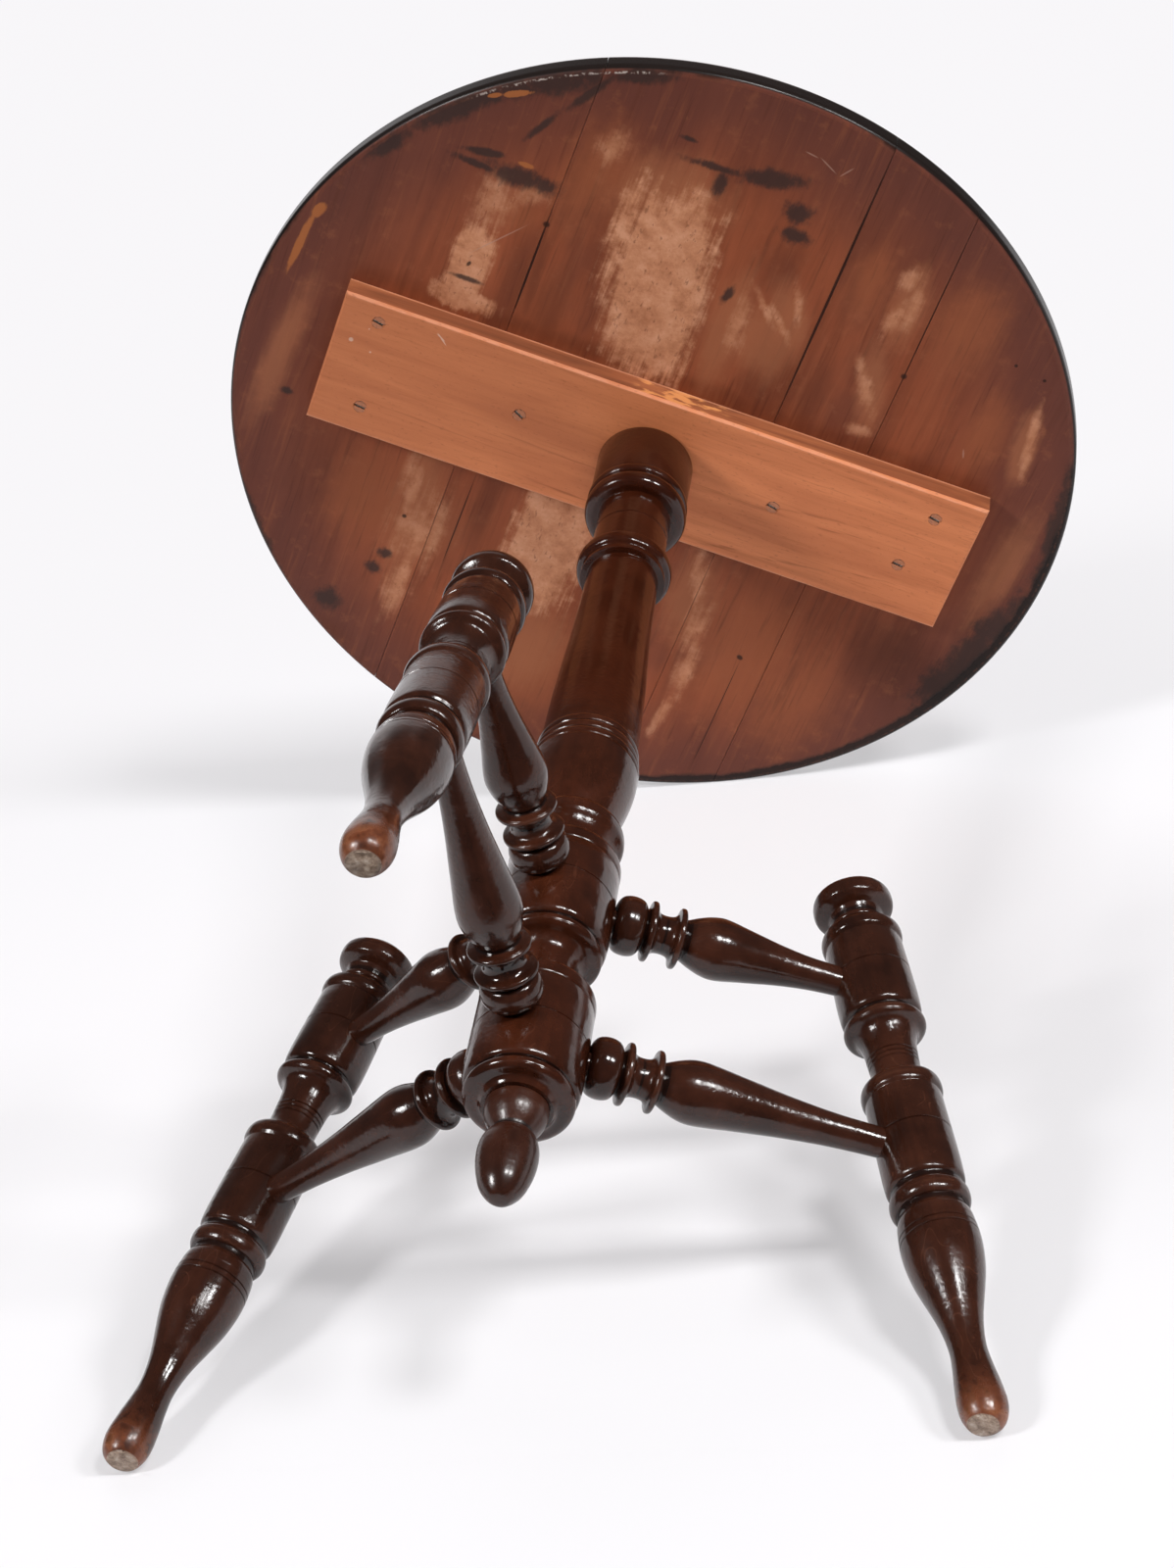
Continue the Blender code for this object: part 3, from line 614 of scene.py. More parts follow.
def spline(points):
    """A centripetal curve through points."""
    if len(points) < 3:
        return list(points)
    padded = [2 * points[0] - points[1], *points, 2 * points[-1] - points[-2]]
    curve = [points[0]]
    for window in zip(padded, padded[1:], padded[2:], padded[3:]):
        knots = [0.0]
        for near, far in zip(window, window[1:]):
            knots.append(knots[-1] + max(np.linalg.norm(far - near), SHORTEST_STEP) ** 0.5)
        for step in range(1, SPLINE_STEPS + 1):
            at = knots[1] + (knots[2] - knots[1]) * step / SPLINE_STEPS
            row = list(window)
            for level in range(1, 4):
                for index in range(4 - level):
                    low, high = blend_knots(knots, index, level)
                    share = (at - low) / (high - low)
                    row[index] = row[index] * (1 - share) + row[index + 1] * share
            curve.append(row[0])
    return curve


def blend_knots(knots, index, level):
    """The two knots between which a curve's points are blended at a level."""
    if level == 1:
        return knots[index], knots[index + 1]
    if level == 2:
        return knots[index], knots[index + 2]
    return knots[1], knots[2]


def rounded_corner(before, corner, after):
    """Three points that round a corner off."""
    reach = []
    for other in (before, after):
        length = np.linalg.norm(other - corner)
        reach.append(corner + (other - corner) * min(CORNER_ROUNDING / length, ROUNDING_SHARE))
    middle = reach[0] * 0.25 + corner * 0.5 + reach[1] * 0.25
    return [reach[0], middle, reach[1]]


def smooth_outline(outline):
    """The outline with curves between its corners and each corner softened."""
    last = len(outline) - 1
    corners = [0]
    for index in range(1, last):
        if is_corner(*outline[index - 1 : index + 2]):
            corners.append(index)
    corners.append(last)
    runs = [spline(outline[start : end + 1]) for start, end in zip(corners, corners[1:])]
    smooth = runs[0][:-1]
    for before, after in zip(runs, runs[1:]):
        smooth += rounded_corner(before[-2], before[-1], after[1])
        smooth += after[1:-1]
    smooth.append(runs[-1][-1])
    return np.array(smooth)


def incised(outline, places):
    """The outline with fine lines cut at some places along it."""
    points = [tuple(point) for point in outline]
    for place in places:
        low = place * MM - LINE_WIDTH / 2
        high = place * MM + LINE_WIDTH / 2
        along, radius = np.array(points).T
        at = np.interp((low, place * MM, high), along, radius)
        cut = [(low, at[0]), (place * MM, at[1] - LINE_DEPTH), (high, at[2])]
        points = [point for point in points if not low <= point[0] <= high] + cut
        points.sort(key=lambda point: point[0])
    return np.array(points)


def revolved(name, outline, base, axis, segments, seed, wobble=WOBBLE):
    """A turned piece, with its grain's place and its crests kept on each vertex."""
    axis = Vector(axis)
    side = Vector((0, 1, 0)).cross(axis).normalized()
    other = axis.cross(side)
    frame_axes = np.array([side, other, axis])
    angles = np.linspace(0, 2 * math.pi, segments, endpoint=False)
    along = np.repeat(outline[:, 0], segments)
    radius = np.repeat(outline[:, 1], segments)
    angle = np.tile(angles, len(outline))
    # Two slow waves keep a turning from being perfectly round.
    radius = radius + wobble * np.sin(2 * angle + seed + 31 * along)
    radius = np.maximum(radius + wobble * 0.5 * np.sin(5 * angle - seed - 83 * along), 0)
    local = np.stack([radius * np.cos(angle), radius * np.sin(angle), along], axis=1)
    ends = np.array([(0, 0, outline[0, 0]), (0, 0, outline[-1, 0])])
    local = np.vstack([local, ends])
    faces = []
    for ring in range(len(outline) - 1):
        for index in range(segments):
            following = (index + 1) % segments
            low, high = ring * segments, (ring + 1) * segments
            faces.append((low + index, low + following, high + following, high + index))
    top = (len(outline) - 1) * segments
    for index in range(segments):
        following = (index + 1) % segments
        faces.append((len(local) - 2, following, index))
        faces.append((len(local) - 1, top + index, top + following))
    mesh = bpy.data.meshes.new(name)
    mesh.from_pydata((local @ frame_axes + np.array(base)).tolist(), [], faces)
    grain = mesh.attributes.new("grain", "FLOAT_VECTOR", "POINT")
    shifted = local + np.array([seed * 0.37, seed * 0.61, 0])
    grain.data.foreach_set("vector", shifted.astype(np.float32).ravel())
    crest = mesh.attributes.new("crest", "FLOAT", "POINT")
    level = crests(outline)
    values = np.append(np.repeat(level, segments), (0, 0))
    crest.data.foreach_set("value", values.astype(np.float32))
    mesh.polygons.foreach_set("use_smooth", [True] * len(mesh.polygons))
    return linked(name, mesh)


def crests(outline):
    """1 on a narrow crest of an outline and -1 in a narrow groove."""
    steps = np.linalg.norm(np.diff(outline, axis=0), axis=1)
    travelled = np.concatenate([[0], np.cumsum(steps)])
    radius = outline[:, 1]
    level = []
    for here, own in zip(travelled, radius):
        before = radius[(travelled <= here) & (travelled > here - CREST_REACH)]
        after = radius[(travelled >= here) & (travelled < here + CREST_REACH)]
        ridge = own - max(before.min(), after.min())
        valley = min(before.max(), after.max()) - own
        level.append((max(ridge, 0) - max(valley, 0)) / CREST_HEIGHT)
    return np.clip(level, -1, 1)


def linked(name, data):
    """A new object in the scene."""
    made = bpy.data.objects.new(name, data)
    bpy.context.scene.collection.objects.link(made)
    return made


def dress(piece, node, material):
    """Shades a new piece, and puts it in the place of a CAD node."""
    piece.data.set_sharp_from_angle(angle=SHARP_EDGE)
    piece.data.materials.append(material)
    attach(piece, "root")
    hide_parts(node)


def cut_plane(mesh, point, outward, rounding=0.0):
    """Cuts a mesh with a plane, drops what lies outward and closes it; may round the new edge."""
    work = bmesh.new()
    work.from_mesh(mesh)
    everything = work.verts[:] + work.edges[:] + work.faces[:]
    cut = bmesh.ops.bisect_plane(
        work, geom=everything, plane_co=point, plane_no=outward, clear_outer=True
    )
    edges = [item for item in cut["geom_cut"] if isinstance(item, bmesh.types.BMEdge)]
    bmesh.ops.holes_fill(work, edges=edges)
    if rounding:
        bmesh.ops.bevel(work, geom=edges, offset=rounding, segments=2, affect="EDGES")
    bmesh.ops.recalc_face_normals(work, faces=work.faces)
    work.to_mesh(mesh)
    work.free()


def make_leg(index, material):
    """A leg turned about the line from its foot to its top, and cut level at the floor."""
    node = f"leg_{index}"
    points, edges = points_and_edges(node)
    mounts = {mount["name"]: mount for mount in frame["record"]["mounts"]}
    foot = np.array(mounts[f"foot_{index}"]["pos_m"])
    distance = np.linalg.norm(points - foot, axis=1)
    tip = points[distance > distance.max() - LEG_TIP_REACH].mean(axis=0)
    axis = (tip - foot) / np.linalg.norm(tip - foot)
    outline = ring_outline(points, edges, foot, axis)
    outline = smooth_outline(np.vstack([[LEG_POLE], outline]))
    outline = incised(outline, LEG_LINES)
    leg = revolved(f"turned_{node}", outline, foot, axis, LEG_SIDES, index)
    cut_plane(leg.data, (0, 0, 0), (0, 0, -1), FOOT_ROUNDING)
    dress(leg, node, material)


def make_stretcher(node, seed, material):
    """A stretcher turned about its own length, from the column outward."""
    points, edges = points_and_edges(node)
    centre = points.mean(axis=0)
    _, _, axes = np.linalg.svd(points - centre)
    axis = axes[0]
    if axis @ np.array([centre[0], centre[1], 0]) < 0:
        axis = -axis
    outline = smooth_outline(ring_outline(points, edges, centre, axis))
    stretcher = revolved(f"turned_{node}", outline, centre, axis, STRETCHER_SIDES, seed)
    dress(stretcher, node, material)


def make_column(material):
    """The column, with its flange's hollow put in place of the frame's plainer rings."""
    column_points = points_and_edges("column")
    outline = ring_outline(*column_points, (0, 0, 0), (0, 0, 1), COLUMN_BORE_RADIUS)
    flange = np.array(FLANGE) * MM
    low, high = flange[0, 0], flange[-1, 0]
    before = outline[(outline[:, 0] < low - RING_TOLERANCE)]
    after = outline[(outline[:, 0] > high + RING_TOLERANCE)]
    crown = outline[np.abs(outline[:, 0] - low) < RING_TOLERANCE][:1]
    neck = outline[np.abs(outline[:, 0] - high) < RING_TOLERANCE][-1:]
    outline = smooth_outline(np.vstack([before, crown, flange, neck, after]))
    outline = incised(outline, COLUMN_LINES)
    column = revolved("turned_column", outline, (0, 0, 0), (0, 0, 1), COLUMN_SIDES, COLUMN_SEED)
    dress(column, "column", material)


def make_finial(material):
    """The drop finial, with a blunter tip than the frame's."""
    outline = ring_outline(*points_and_edges("drop_finial"), (0, 0, 0), (0, 0, 1))
    tip = outline[0]
    blunt = [tip + np.array(step) * MM for step in FINIAL_TIP]
    outline = smooth_outline(np.vstack([blunt, outline[1:]]))
    finial = revolved("turned_finial", outline, (0, 0, 0), (0, 0, 1), FINIAL_SIDES, FINIAL_SEED)
    dress(finial, "drop_finial", material)


def make_boards(material):
    """The round top, smooth at its edge and sawn along the frame's own joints."""
    names = [f"top_board_{index}" for index in range(1, 5)]
    outline = ring_outline(*points_and_edges(*names), (0, 0, 0), (0, 0, 1))
    widest = outline[:, 1].max()
    outline = smooth_outline(outline)
    outline[:, 1] = np.minimum(outline[:, 1], widest)
    for seed, name in enumerate(names):
        low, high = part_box(name)
        board = revolved(f"smooth_{name}", outline, (0, 0, 0), (0, 0, 1), TOP_SIDES, seed, 0.0)
        cut_plane(board.data, (low.x, 0, 0), (-1, 0, 0))
        cut_plane(board.data, (high.x, 0, 0), (1, 0, 0))
        dress(board, name, material)
        # Level faces stay flat, so that the rounded edge doesn't tint their shading.
        for face in board.data.polygons:
            face.use_smooth = abs(face.normal.z) < LEVEL_NORMAL


def polished_wood(name, polish):
    """Dark satin polish over red-brown wood, a little thin on the crests, with dirt and painted shade
    in the quirks.
    """
    material = bpy.data.materials.new(name)
    nodes = Nodes(material)
    grain = nodes.attribute("grain")
    crest = nodes.attribute("crest", "Fac")
    figure = nodes.noise(nodes.stretch(grain, (150, 150, 12)), 1.0, 4.0, 0.6, 0.4)
    pores = nodes.noise(nodes.stretch(grain, (900, 900, 60)), 1.0, 2.0)
    blotch = nodes.noise(grain, 36.0, 5.0, 0.6)
    dents = nodes.noise(nodes.stretch(grain, (200, 200, 90)), 1.0, 3.0)
    specks = nodes.noise(grain, 420.0, 3.0, 0.6)
    winding = nodes.noise(nodes.stretch(grain, (75, 75, 30)), 1.0, 1.0)
    tone = nodes.math("ADD", nodes.scaled(figure, 0.3, 0), nodes.scaled(blotch, 0.7, 0))
    colour = nodes.ramp(tone, (DARK_STOP, polish.dark), (WARM_STOP, polish.warm))
    rubbed = nodes.math("MULTIPLY", nodes.span(crest, 0.4, 1.0), nodes.span(blotch, 0.48, 0.66))
    colour = nodes.mix(nodes.math("MULTIPLY", rubbed, 0.35), colour, polish.worn)
    scratch = nodes.span(nodes.math("ABSOLUTE", nodes.scaled(winding, 1, -0.5)), 0.008, 0.002)
    chipped = nodes.math("MAXIMUM", scratch, nodes.span(specks, 0.64, 0.72))
    chipped = nodes.math("MULTIPLY", chipped, nodes.span(blotch, 0.5, 0.62, 0, 0.5))
    colour = nodes.mix(chipped, colour, polish.worn)
    # Painted shade with dirt: the grooves between the beads are darkened in the colour itself.
    colour = nodes.mix(nodes.span(crest, -0.3, -0.7, 0, 0.75), colour, QUIRK_DIRT_AND_SHADE)
    height = nodes.math("ADD", nodes.scaled(pores, 0.12, 0), dents)
    crackled = nodes.math("MULTIPLY", nodes.span(blotch, 0.38, 0.55), nodes.span(crest, 0.3, 0.0))
    crackle = nodes.math("MULTIPLY", specks, crackled)
    normal = nodes.bump(crackle, 0.75, 0.25 * MM, nodes.bump(height, 0.22, 0.3 * MM))
    return material, nodes, {
        "grain": grain,
        "colour": colour,
        "tone": tone,
        "roughness": nodes.span(blotch, 0.35, 0.7, 0.12, 0.22),
        "normal": normal,
    }


def finish_polish(nodes, made, colour, roughness=None):
    """Sets the shader of a polished turning."""
    nodes.finish(
        Base_Color=colour,
        Roughness=roughness or made["roughness"],
        Normal=made["normal"],
        Specular_IOR_Level=0.4,
        Coat_Weight=0.1,
        Coat_Roughness=0.06,
    )


def leg_material():
    """As the other turnings, with the polish worn off the foot and a bare flat under it."""
    material, nodes, made = polished_wood("leg_polish", LEG_POLISH)
    along = nodes.axis(made["grain"], "Z")
    scuffs = nodes.noise(made["grain"], 90.0, 6.0, 0.65)
    uneven = nodes.scaled(scuffs, SCUFF_RAGGEDNESS, -SCUFF_RAGGEDNESS / 2)
    worn = nodes.span(nodes.math("ADD", along, uneven), SCUFFED_UP_TO, SCUFFED_BELOW)
    scuffed = nodes.ramp(scuffs, *SCUFFED_FOOT)
    colour = nodes.mix(nodes.math("MULTIPLY", worn, 0.9), made["colour"], scuffed)
    height = nodes.axis(nodes.place(), "Z")
    flat = nodes.span(height, FLAT_UP_TO, FLAT_BELOW)
    fibres = nodes.noise(nodes.place(), 260.0, 6.0, 0.7)
    colour = nodes.mix(flat, colour, nodes.ramp(fibres, *BARE_FLAT))
    dull = nodes.math("MAXIMUM", flat, nodes.math("MULTIPLY", worn, 0.4))
    finish_polish(nodes, made, colour, nodes.span(dull, 0, 1, made["roughness"], 0.6))
    return material


def column_material():
    """Redder on the shaft, the neck and the collar than on the hub."""
    material, nodes, made = polished_wood("column_polish", COLUMN_POLISH)
    along = nodes.axis(made["grain"], "Z")
    upper = nodes.span(along, RED_FROM, RED_ABOVE)
    red = nodes.ramp(made["tone"], *SHAFT_RED)
    crest = nodes.attribute("crest", "Fac")
    upper = nodes.math("MULTIPLY", upper, nodes.span(crest, -0.9, -0.4))
    colour = nodes.mix(nodes.math("MULTIPLY", upper, 0.9), made["colour"], red)
    finish_polish(nodes, made, colour)
    return material


def plain_polish(name, dullness=0.0):
    """The same polish all over, made duller where asked."""
    material, nodes, made = polished_wood(name, PLAIN_POLISH)
    finish_polish(nodes, made, made["colour"], nodes.scaled(made["roughness"], 1, dullness))
    return material


def batten_material():
    """Bare planed wood, orange-brown, with fine grain along the batten and rough sawn sides; painted
    shade toward one end and painted highlights on its worn arrises.
    """
    material = bpy.data.materials.new("batten_wood")
    nodes = Nodes(material)
    setting = {"Location": (0, BATTEN_SHIFT, 0), "Rotation": (0, 0, BATTEN_SKEW)}
    inputs = {"Vector": nodes.place(), **setting}
    place = nodes.add("Mapping", inputs, vector_type="TEXTURE").outputs[0]
    flat = nodes.stretch(nodes.place(), (1, 1, 0))
    lengthwise = nodes.axis(place, "X")
    height = nodes.axis(place, "Z")
    across = nodes.math("ABSOLUTE", nodes.axis(place, "Y"))
    figure = nodes.noise(nodes.stretch(place, (7, 90, 90)), 1.0, 4.0, 0.6, 0.8)
    fine = nodes.noise(nodes.stretch(place, (35, 800, 800)), 1.0, 3.0)
    broad = nodes.noise(nodes.stretch(place, (7, 18, 18)), 1.0, 3.0)
    colour = nodes.ramp(figure, *BATTEN_PLANED)
    colour = nodes.mix(nodes.span(broad, 0.56, 0.3, 0, 0.5), colour, BATTEN_CLOUD)
    colour = nodes.mix(nodes.span(fine, 0.56, 0.76, 0, 0.3), colour, BATTEN_PORE)
    ragged = nodes.math("ADD", nodes.marks(flat, BATTEN_STREAKS), nodes.scaled(fine, 2.8, -1.5))
    colour = nodes.mix(nodes.span(ragged, 0.0, 1.0, 0, 0.5), colour, BATTEN_STREAK)
    chips = nodes.span(nodes.marks(flat, BATTEN_CHIPS), 0.0, 0.4, 0, 0.8)
    colour = nodes.mix(chips, colour, BATTEN_CHIP)
    # Painted shade toward the batten's -X end, as if less lamp light reached it.
    painted_end_shade = nodes.span(lengthwise, PAINTED_SHADE_FROM, PAINTED_SHADE_TO, 0, 0.45)
    colour = nodes.mix(painted_end_shade, colour, BATTEN_PAINTED_SHADE)
    splinters = nodes.noise(nodes.stretch(place, (90, 300, 300)), 1.0, 3.0)
    broken = nodes.span(splinters, 0.35, 0.6, 0.1, 0.5)
    # Worn arris with a painted highlight along the face's long edges.
    arris = nodes.math("MULTIPLY", nodes.span(across, *ARRIS_SPAN), broken)
    colour = nodes.mix(arris, colour, BATTEN_WORN_ARRIS_HIGHLIGHT)
    specks = nodes.noise(nodes.stretch(place, (260, 700, 700)), 1.0, 2.0)
    colour = nodes.mix(nodes.span(specks, 0.6, 0.74, 0, 0.4), colour, BATTEN_SPECK)
    sawn = nodes.ramp(figure, *BATTEN_SAWN)
    middle = nodes.math("ABSOLUTE", nodes.scaled(lengthwise, 1, -TORN_MIDDLE))
    torn = nodes.math("MULTIPLY", nodes.span(middle, *TORN_SPAN), nodes.span(splinters, 0.48, 0.6))
    sawn = nodes.mix(torn, sawn, BATTEN_TORN)
    colour = nodes.mix(nodes.span(height, *SAWN_SPAN), colour, sawn)
    # Painted highlight with wear along the batten's upper arris, where it meets the top.
    edge = nodes.span(height, *UPPER_ARRIS_SPAN, 0, 0.55)
    colour = nodes.mix(edge, colour, BATTEN_UPPER_ARRIS_HIGHLIGHT)
    nodes.finish(
        Base_Color=colour,
        Roughness=nodes.span(fine, 0.3, 0.7, 0.45, 0.6),
        Normal=nodes.bump(fine, 0.15, 0.2 * MM),
        Specular_IOR_Level=0.25,
    )
    return material


def underside_colour(nodes, grain, flat, radius):
    """Old red-brown wood, worn bare in patches, with brushed paint, cracks, nail holes, chips and
    painted shade along the batten.
    """
    figure = nodes.noise(nodes.stretch(grain, (50, 4, 50)), 1.0, 5.0, 0.6, 0.5)
    fine = nodes.noise(nodes.stretch(grain, (650, 25, 650)), 1.0, 2.0)
    streaks = nodes.noise(nodes.stretch(grain, (190, 10, 190)), 1.0, 4.0, 0.65)
    cloud = nodes.noise(nodes.stretch(grain, (15, 8, 15)), 1.0, 4.0, 0.55)
    mottle = nodes.noise(grain, 70.0, 6.0, 0.7)
    specks = nodes.noise(nodes.stretch(grain, (420, 170, 420)), 1.0, 3.0, 0.6)
    colour = nodes.ramp(figure, *UNDERSIDE_WOOD)
    colour = nodes.mix(nodes.span(cloud, 0.50, 0.32, 0, 0.55), colour, DIM_CLOUD)
    uneven = nodes.scaled(cloud, DIM_RIM_RAGGEDNESS, -DIM_RIM_RAGGEDNESS / 2)
    toward_rim = nodes.math("ADD", radius, uneven)
    colour = nodes.mix(nodes.span(toward_rim, *DIM_RIM_SPAN, 0, 0.8), colour, DIM_RIM)
    soft = nodes.math("ADD", nodes.scaled(cloud, 1.2, -0.6), nodes.scaled(mottle, 0.8, -0.4))
    for marks, strength, tint in (
        (WARM_WOOD, 0.7, WARM_TINT),
        # Darker wood, and painted shade along the batten's edge.
        (DARK_WOOD_AND_BATTEN_SHADE, 0.45, DARK_WOOD_AND_SHADE_TINT),
    ):
        ragged = nodes.math("ADD", nodes.marks(flat, marks), soft)
        colour = nodes.mix(nodes.span(ragged, -0.2, 0.8, 0, strength), colour, tint)
    colour = nodes.mix(nodes.span(streaks, 0.54, 0.74, 0, 0.4), colour, DARK_STREAK)
    colour = nodes.mix(nodes.span(streaks, 0.46, 0.26, 0, 0.3), colour, PALE_STREAK)
    colour = nodes.mix(nodes.span(mottle, 0.54, 0.74, 0, 0.35), colour, PALE_MOTTLE)
    colour = nodes.mix(nodes.span(fine, 0.56, 0.8, 0, 0.4), colour, DARK_PORE)
    breakup = nodes.math("ADD", nodes.scaled(streaks, 1.1, -0.55), nodes.scaled(mottle, 0.7, -0.35))
    bare = nodes.ramp(mottle, *BARE_TONES)
    bare = nodes.mix(nodes.span(specks, 0.60, 0.70, 0, 0.55), bare, BARE_SPECK)
    faded = nodes.math("ADD", nodes.marks(flat, FADED_WOOD), breakup)
    colour = nodes.mix(nodes.span(faded, -0.25, 0.6, 0, 0.55), colour, FADED_TINT)
    scraped = nodes.math("ADD", nodes.marks(flat, SCRAPED_WOOD), nodes.scaled(breakup, 1.8, 0))
    colour = nodes.mix(nodes.span(scraped, -0.3, 0.9, 0, 0.6), colour, bare)
    worn = nodes.math("ADD", nodes.marks(flat, BARE_WOOD, square=True), breakup)
    colour = nodes.mix(nodes.span(worn, -0.14, 0.3, 0, 0.95), colour, bare)
    smears = nodes.math("ADD", nodes.scaled(mottle, 1.6, -0.8), nodes.scaled(specks, 0.8, -0.4))
    brushed = nodes.math("ADD", nodes.marks(flat, BLACK_STROKES), smears)
    colour = nodes.mix(nodes.span(brushed, -0.15, 0.6, 0, 0.88), colour, STROKE_BLACK)
    scratches = nodes.span(nodes.marks(flat, PALE_SCRATCHES), 0.0, 0.5, 0, 0.45)
    colour = nodes.mix(scratches, colour, SCRATCH_TINT)
    chips = nodes.math("ADD", nodes.marks(flat, ORANGE_CHIPS), breakup)
    colour = nodes.mix(nodes.span(chips, 0.0, 0.3, 0, 0.85), colour, CHIP_ORANGE)
    opened = nodes.math("MAXIMUM", nodes.marks(flat, CRACKS), nodes.marks(flat, HOLES))
    opened = nodes.span(nodes.math("ADD", opened, nodes.scaled(mottle, 0.4, -0.2)), 0.0, 0.5)
    colour = nodes.mix(nodes.math("MULTIPLY", opened, 0.85), colour, CRACK_DARK)
    height = nodes.math("SUBTRACT", nodes.scaled(fine, 0.3, 0), opened)
    return colour, height, mottle, cloud


def board_material():
    """Boards worn and stained below, painted black round the rim and polished above."""
    material = bpy.data.materials.new("board_wood")
    nodes = Nodes(material)
    grain = nodes.attribute("grain")
    place = nodes.place()
    flat = nodes.stretch(place, (1, 1, 0))
    height = nodes.axis(place, "Z")
    radius = nodes.length(flat)
    colour, relief, mottle, cloud = underside_colour(nodes, grain, flat, radius)

    ragged = nodes.scaled(mottle, RIM_RAGGEDNESS, -RIM_RAGGEDNESS / 2)
    wavy = nodes.scaled(cloud, RIM_WAVINESS, -RIM_WAVINESS / 2)
    rightward = nodes.span(nodes.axis(place, "X"), *RIM_SPREAD_X, 0, RIM_SPREAD)
    forward = nodes.span(nodes.axis(place, "Y"), *RIM_SPREAD_Y)
    inward = nodes.math("MULTIPLY", rightward, forward)
    uneven = nodes.math("ADD", radius, nodes.math("ADD", ragged, wavy))
    reached = nodes.math("ADD", uneven, inward)
    painted = nodes.span(reached, *RIM_PAINT_SPAN, 0, 0.92)
    painted = nodes.math("MAXIMUM", painted, nodes.span(radius, *RIM_EDGE_SPAN))
    colour = nodes.mix(painted, colour, RIM_PAINT)
    inside = nodes.span(radius, *RIM_ARRIS_INNER)
    arris = nodes.math("MULTIPLY", inside, nodes.span(radius, *RIM_ARRIS_OUTER))
    flecks = nodes.noise(grain, 380.0, 3.0, 0.6)
    rubbed = nodes.math("MULTIPLY", arris, nodes.span(flecks, 0.42, 0.62, 0, 0.45))
    colour = nodes.mix(rubbed, colour, RIM_RUBBED)
    # Pale worn specks and painted glints along the arris, in one sector of the rim.
    bright = nodes.math("MULTIPLY", arris, nodes.span(flecks, 0.50, 0.58))
    bright = nodes.math("MULTIPLY", bright, nodes.span(nodes.marks(flat, WORN_GLINTING_RIM), 0.0, 0.3, 0, 0.8))
    colour = nodes.mix(bright, colour, RIM_SPECKS_AND_GLINTS)

    above = nodes.span(height, *UPPER_SPAN)
    figure = nodes.noise(nodes.stretch(grain, (45, 4, 45)), 1.0, 5.0, 0.6, 0.9)
    pores = nodes.noise(nodes.stretch(grain, (900, 40, 900)), 1.0, 2.0)
    polish = nodes.ramp(figure, *UPPER_POLISH)
    polish = nodes.mix(nodes.span(pores, 0.6, 0.75, 0, 0.6), polish, UPPER_PORE)
    colour = nodes.mix(above, colour, polish)

    gloss = nodes.math("MAXIMUM", painted, above)
    dull = nodes.span(cloud, 0.3, 0.7, 0.42, 0.58)
    nodes.finish(
        Base_Color=colour,
        Roughness=nodes.span(gloss, 0, 1, dull, 0.24),
        Normal=nodes.bump(relief, 0.25, 0.3 * MM),
        Specular_IOR_Level=0.15,
        Coat_Weight=nodes.span(above, 0, 1, 0, 0.3),
        Coat_Roughness=0.12,
    )
    return material


def screw_material():
    """Old steel, dulled to the wood's colour on the head and partly bright in the slot."""
    material = bpy.data.materials.new("screw_steel")
    nodes = Nodes(material)
    place = nodes.place()
    rust = nodes.noise(place, 900.0, 3.0)
    face = nodes.ramp(rust, *SCREW_FACE)
    slot = nodes.ramp(rust, *SCREW_SLOT)
    deep = nodes.span(nodes.axis(place, "Z"), *SLOT_SPAN)
    nodes.finish(
        Base_Color=nodes.mix(deep, face, slot),
        Metallic=nodes.span(deep, 0, 1, 0.1, 0.9),
        Roughness=nodes.span(rust, 0.3, 0.7, 0.35, 0.55),
    )
    return material


def floor_material(name, middle):
    """Pale paper: shaded near the table, and plain where it is seen farther away."""
    material = bpy.data.materials.new(name)
    nodes = Nodes(material)
    nodes.finish(Base_Color=FLOOR_SHADED, Roughness=0.9, Specular_IOR_Level=0.1)
    ends = {0: nodes.place(), 1: middle}
    away = nodes.add("VectorMath", ends, operation="DISTANCE").outputs["Value"]
    lift = nodes.span(away, FLOOR_NEAR, FLOOR_FAR, FLOOR_LIFT_NEAR, FLOOR_LIFT_FAR)
    lift = nodes.math("MULTIPLY", lift, nodes.shows_stage())
    pale = nodes.add("Emission", {"Color": FLOOR_WHITE}).outputs[0]
    lit = nodes.add("MixShader", {0: lift, 1: nodes.shader.outputs[0], 2: pale}).outputs[0]
    back = nodes.add("NewGeometry", {}).outputs["Backfacing"]
    clear = nodes.add("BsdfTransparent", {}).outputs[0]
    seen = nodes.add("MixShader", {0: back, 1: lit, 2: clear}).outputs[0]
    nodes.put(nodes.tree.nodes["Material Output"], {"Surface": seen})
    return material


def make_floor(name, normal, offset, forward, front):
    """A wide floor under the table that ends in front of it, facing along a normal."""
    up = Vector(normal)
    ahead = Vector(forward)
    side = ahead.cross(up)
    middle = TABLE_MIDDLE - up * (up.dot(TABLE_MIDDLE) - offset)
    corners = [(-1, -front), (1, -front), (1, FLOOR_REACH), (-1, FLOOR_REACH)]
    mesh = bpy.data.meshes.new(name)
    points = [middle + side * FLOOR_REACH * a + ahead * b for a, b in corners]
    mesh.from_pydata([point[:] for point in points], [], [(0, 1, 2, 3)])
    floor = linked(name, mesh)
    mesh.materials.append(floor_material(name, middle))
    return floor


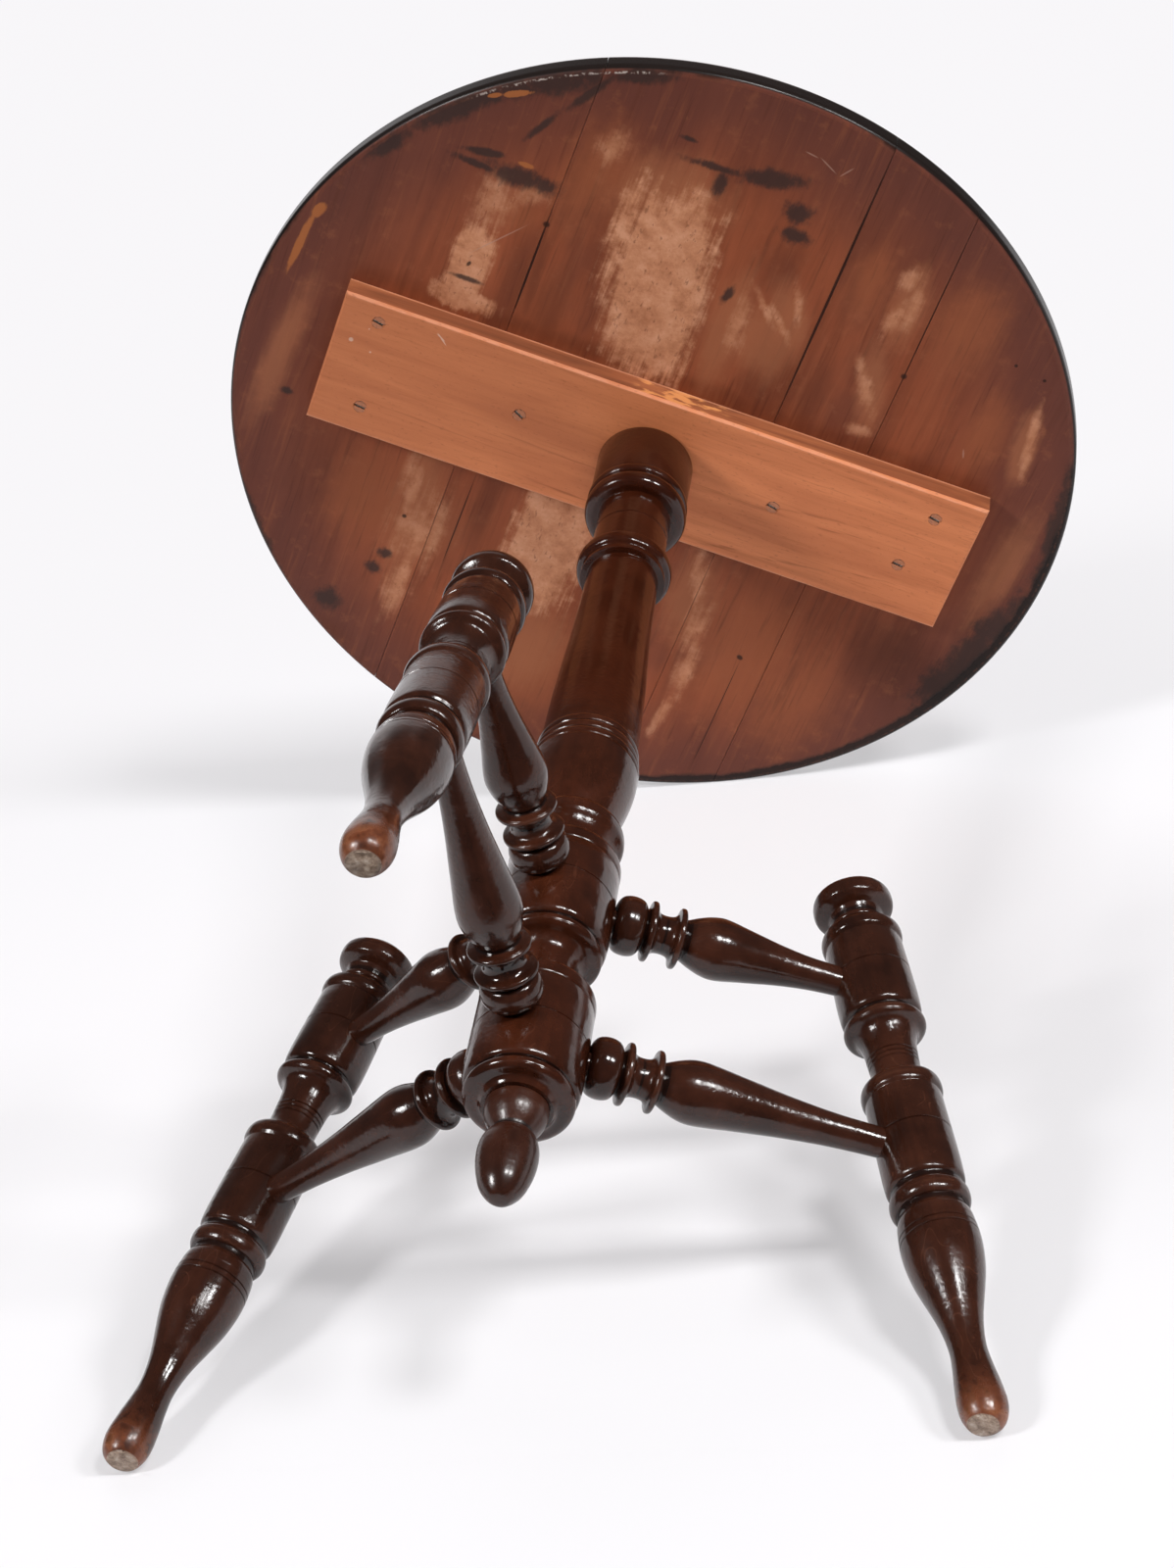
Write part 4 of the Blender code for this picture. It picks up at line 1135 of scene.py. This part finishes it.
def make_wall(name):
    """A round pale wall behind a standing table, seen from its inner side only."""
    mesh = bpy.data.meshes.new(name)
    angles = np.linspace(0, 2 * math.pi, WALL_SIDES, endpoint=False)
    points = [
        (WALL_RADIUS * math.cos(angle), WALL_RADIUS * math.sin(angle), level)
        for angle in angles
        for level in (0, WALL_HEIGHT)
    ]
    faces = []
    for index in range(WALL_SIDES):
        low, following = 2 * index, 2 * ((index + 1) % WALL_SIDES)
        faces.append((following, low, low + 1, following + 1))
    mesh.from_pydata(points, [], faces)
    wall = linked(name, mesh)
    mesh.materials.append(floor_material(name, Vector((0, 0, 0))))
    return wall


def photo_axes():
    """Right, forward along the floor and up, as the photographer stood."""
    up = PHOTO_FLOOR_NORMAL
    look = (CAMERA_AIM - CAMERA_PLACE).normalized()
    forward = (look - up * look.dot(up)).normalized()
    return forward.cross(up), forward, up


def make_softbox(lamp):
    """A square lamp aimed at the table."""
    right, forward, up = photo_axes()
    around = math.radians(lamp.turn)
    above = math.radians(lamp.height)
    level = right * math.sin(around) - forward * math.cos(around)
    toward = level * math.cos(above) + up * math.sin(above)
    data = bpy.data.lights.new(lamp.name, "AREA")
    data.size = lamp.size
    data.energy = lamp.power
    softbox = linked(lamp.name, data)
    softbox.visible_camera = False
    softbox.visible_glossy = lamp.in_gloss
    softbox.location = TABLE_MIDDLE + toward * lamp.distance
    softbox.rotation_mode = "QUATERNION"
    softbox.rotation_quaternion = (-toward).to_track_quat("-Z", "Y")


def make_world():
    """Dim surroundings, with a pale sheet that rises behind the tipped table."""
    world = bpy.data.worlds.new("studio")
    bpy.context.scene.world = world
    nodes = Nodes(world)
    direction = nodes.add("TexCoord", {}).outputs["Generated"]
    right, forward, up = photo_axes()
    ahead = nodes.span(nodes.dot(direction, forward), 0.0, 0.3)
    within = nodes.span(nodes.math("ABSOLUTE", nodes.dot(direction, right)), 0.6, 0.25)
    below = nodes.span(nodes.dot(direction, up), 0.75, 0.1)
    risen = nodes.math("MULTIPLY", nodes.math("MULTIPLY", ahead, within), below)
    nodes.finish(Color=FLOOR_WHITE, Strength=nodes.span(risen, 0, 1, WORLD_STRENGTH, SHEET_STRENGTH))


def make_camera():
    """The photographer's camera."""
    data = bpy.data.cameras.new("camera")
    data.lens = CAMERA_LENS
    data.sensor_width = CAMERA_SENSOR
    data.clip_end = CAMERA_REACH
    camera = linked("camera", data)
    back = (CAMERA_PLACE - CAMERA_AIM).normalized()
    right = CAMERA_UP.cross(back).normalized()
    turn = Matrix((right, back.cross(right), back)).transposed().to_4x4()
    camera.matrix_world = Matrix.Translation(CAMERA_PLACE) @ turn
    bpy.context.scene.camera = camera


def paint_node(node, material):
    """A CAD node that stays as it is, with a better material."""
    mesh = frame["nodes"][node].data
    mesh.materials.clear()
    mesh.materials.append(material)


for leftover in list(bpy.data.objects):
    bpy.data.objects.remove(leftover)
bpy.context.scene.view_settings.view_transform = "Standard"

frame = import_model()

legs_polish = leg_material()
stretcher_polish = plain_polish("stretcher_polish")
for number in (1, 2, 3):
    make_leg(number, legs_polish)
    make_stretcher(f"upper_stretcher_{number}", UPPER_SEED + number, stretcher_polish)
    make_stretcher(f"lower_stretcher_{number}", LOWER_SEED + number, stretcher_polish)
make_column(column_material())
make_finial(plain_polish("finial_polish", FINIAL_DULLNESS))
make_boards(board_material())

batten_wood = batten_material()
paint_node("batten", batten_wood)
paint_node("tenon_wedge", batten_wood)
steel = screw_material()
for number in range(1, 7):
    paint_node(f"batten_screw_{number}", steel)

make_floor("photo_floor", PHOTO_FLOOR_NORMAL, PHOTO_FLOOR_OFFSET, photo_axes()[1], FLOOR_FRONT)
standing_floor = make_floor(
    "standing_floor", (0, 0, 1), STANDING_FLOOR_LEVEL, (0, 1, 0), FLOOR_REACH
)
for stage in (standing_floor, make_wall("standing_wall")):
    for kind in ("diffuse", "glossy", "transmission", "shadow"):
        setattr(stage, "visible_" + kind, False)
for lamp in LAMPS:
    make_softbox(lamp)
make_world()
make_camera()
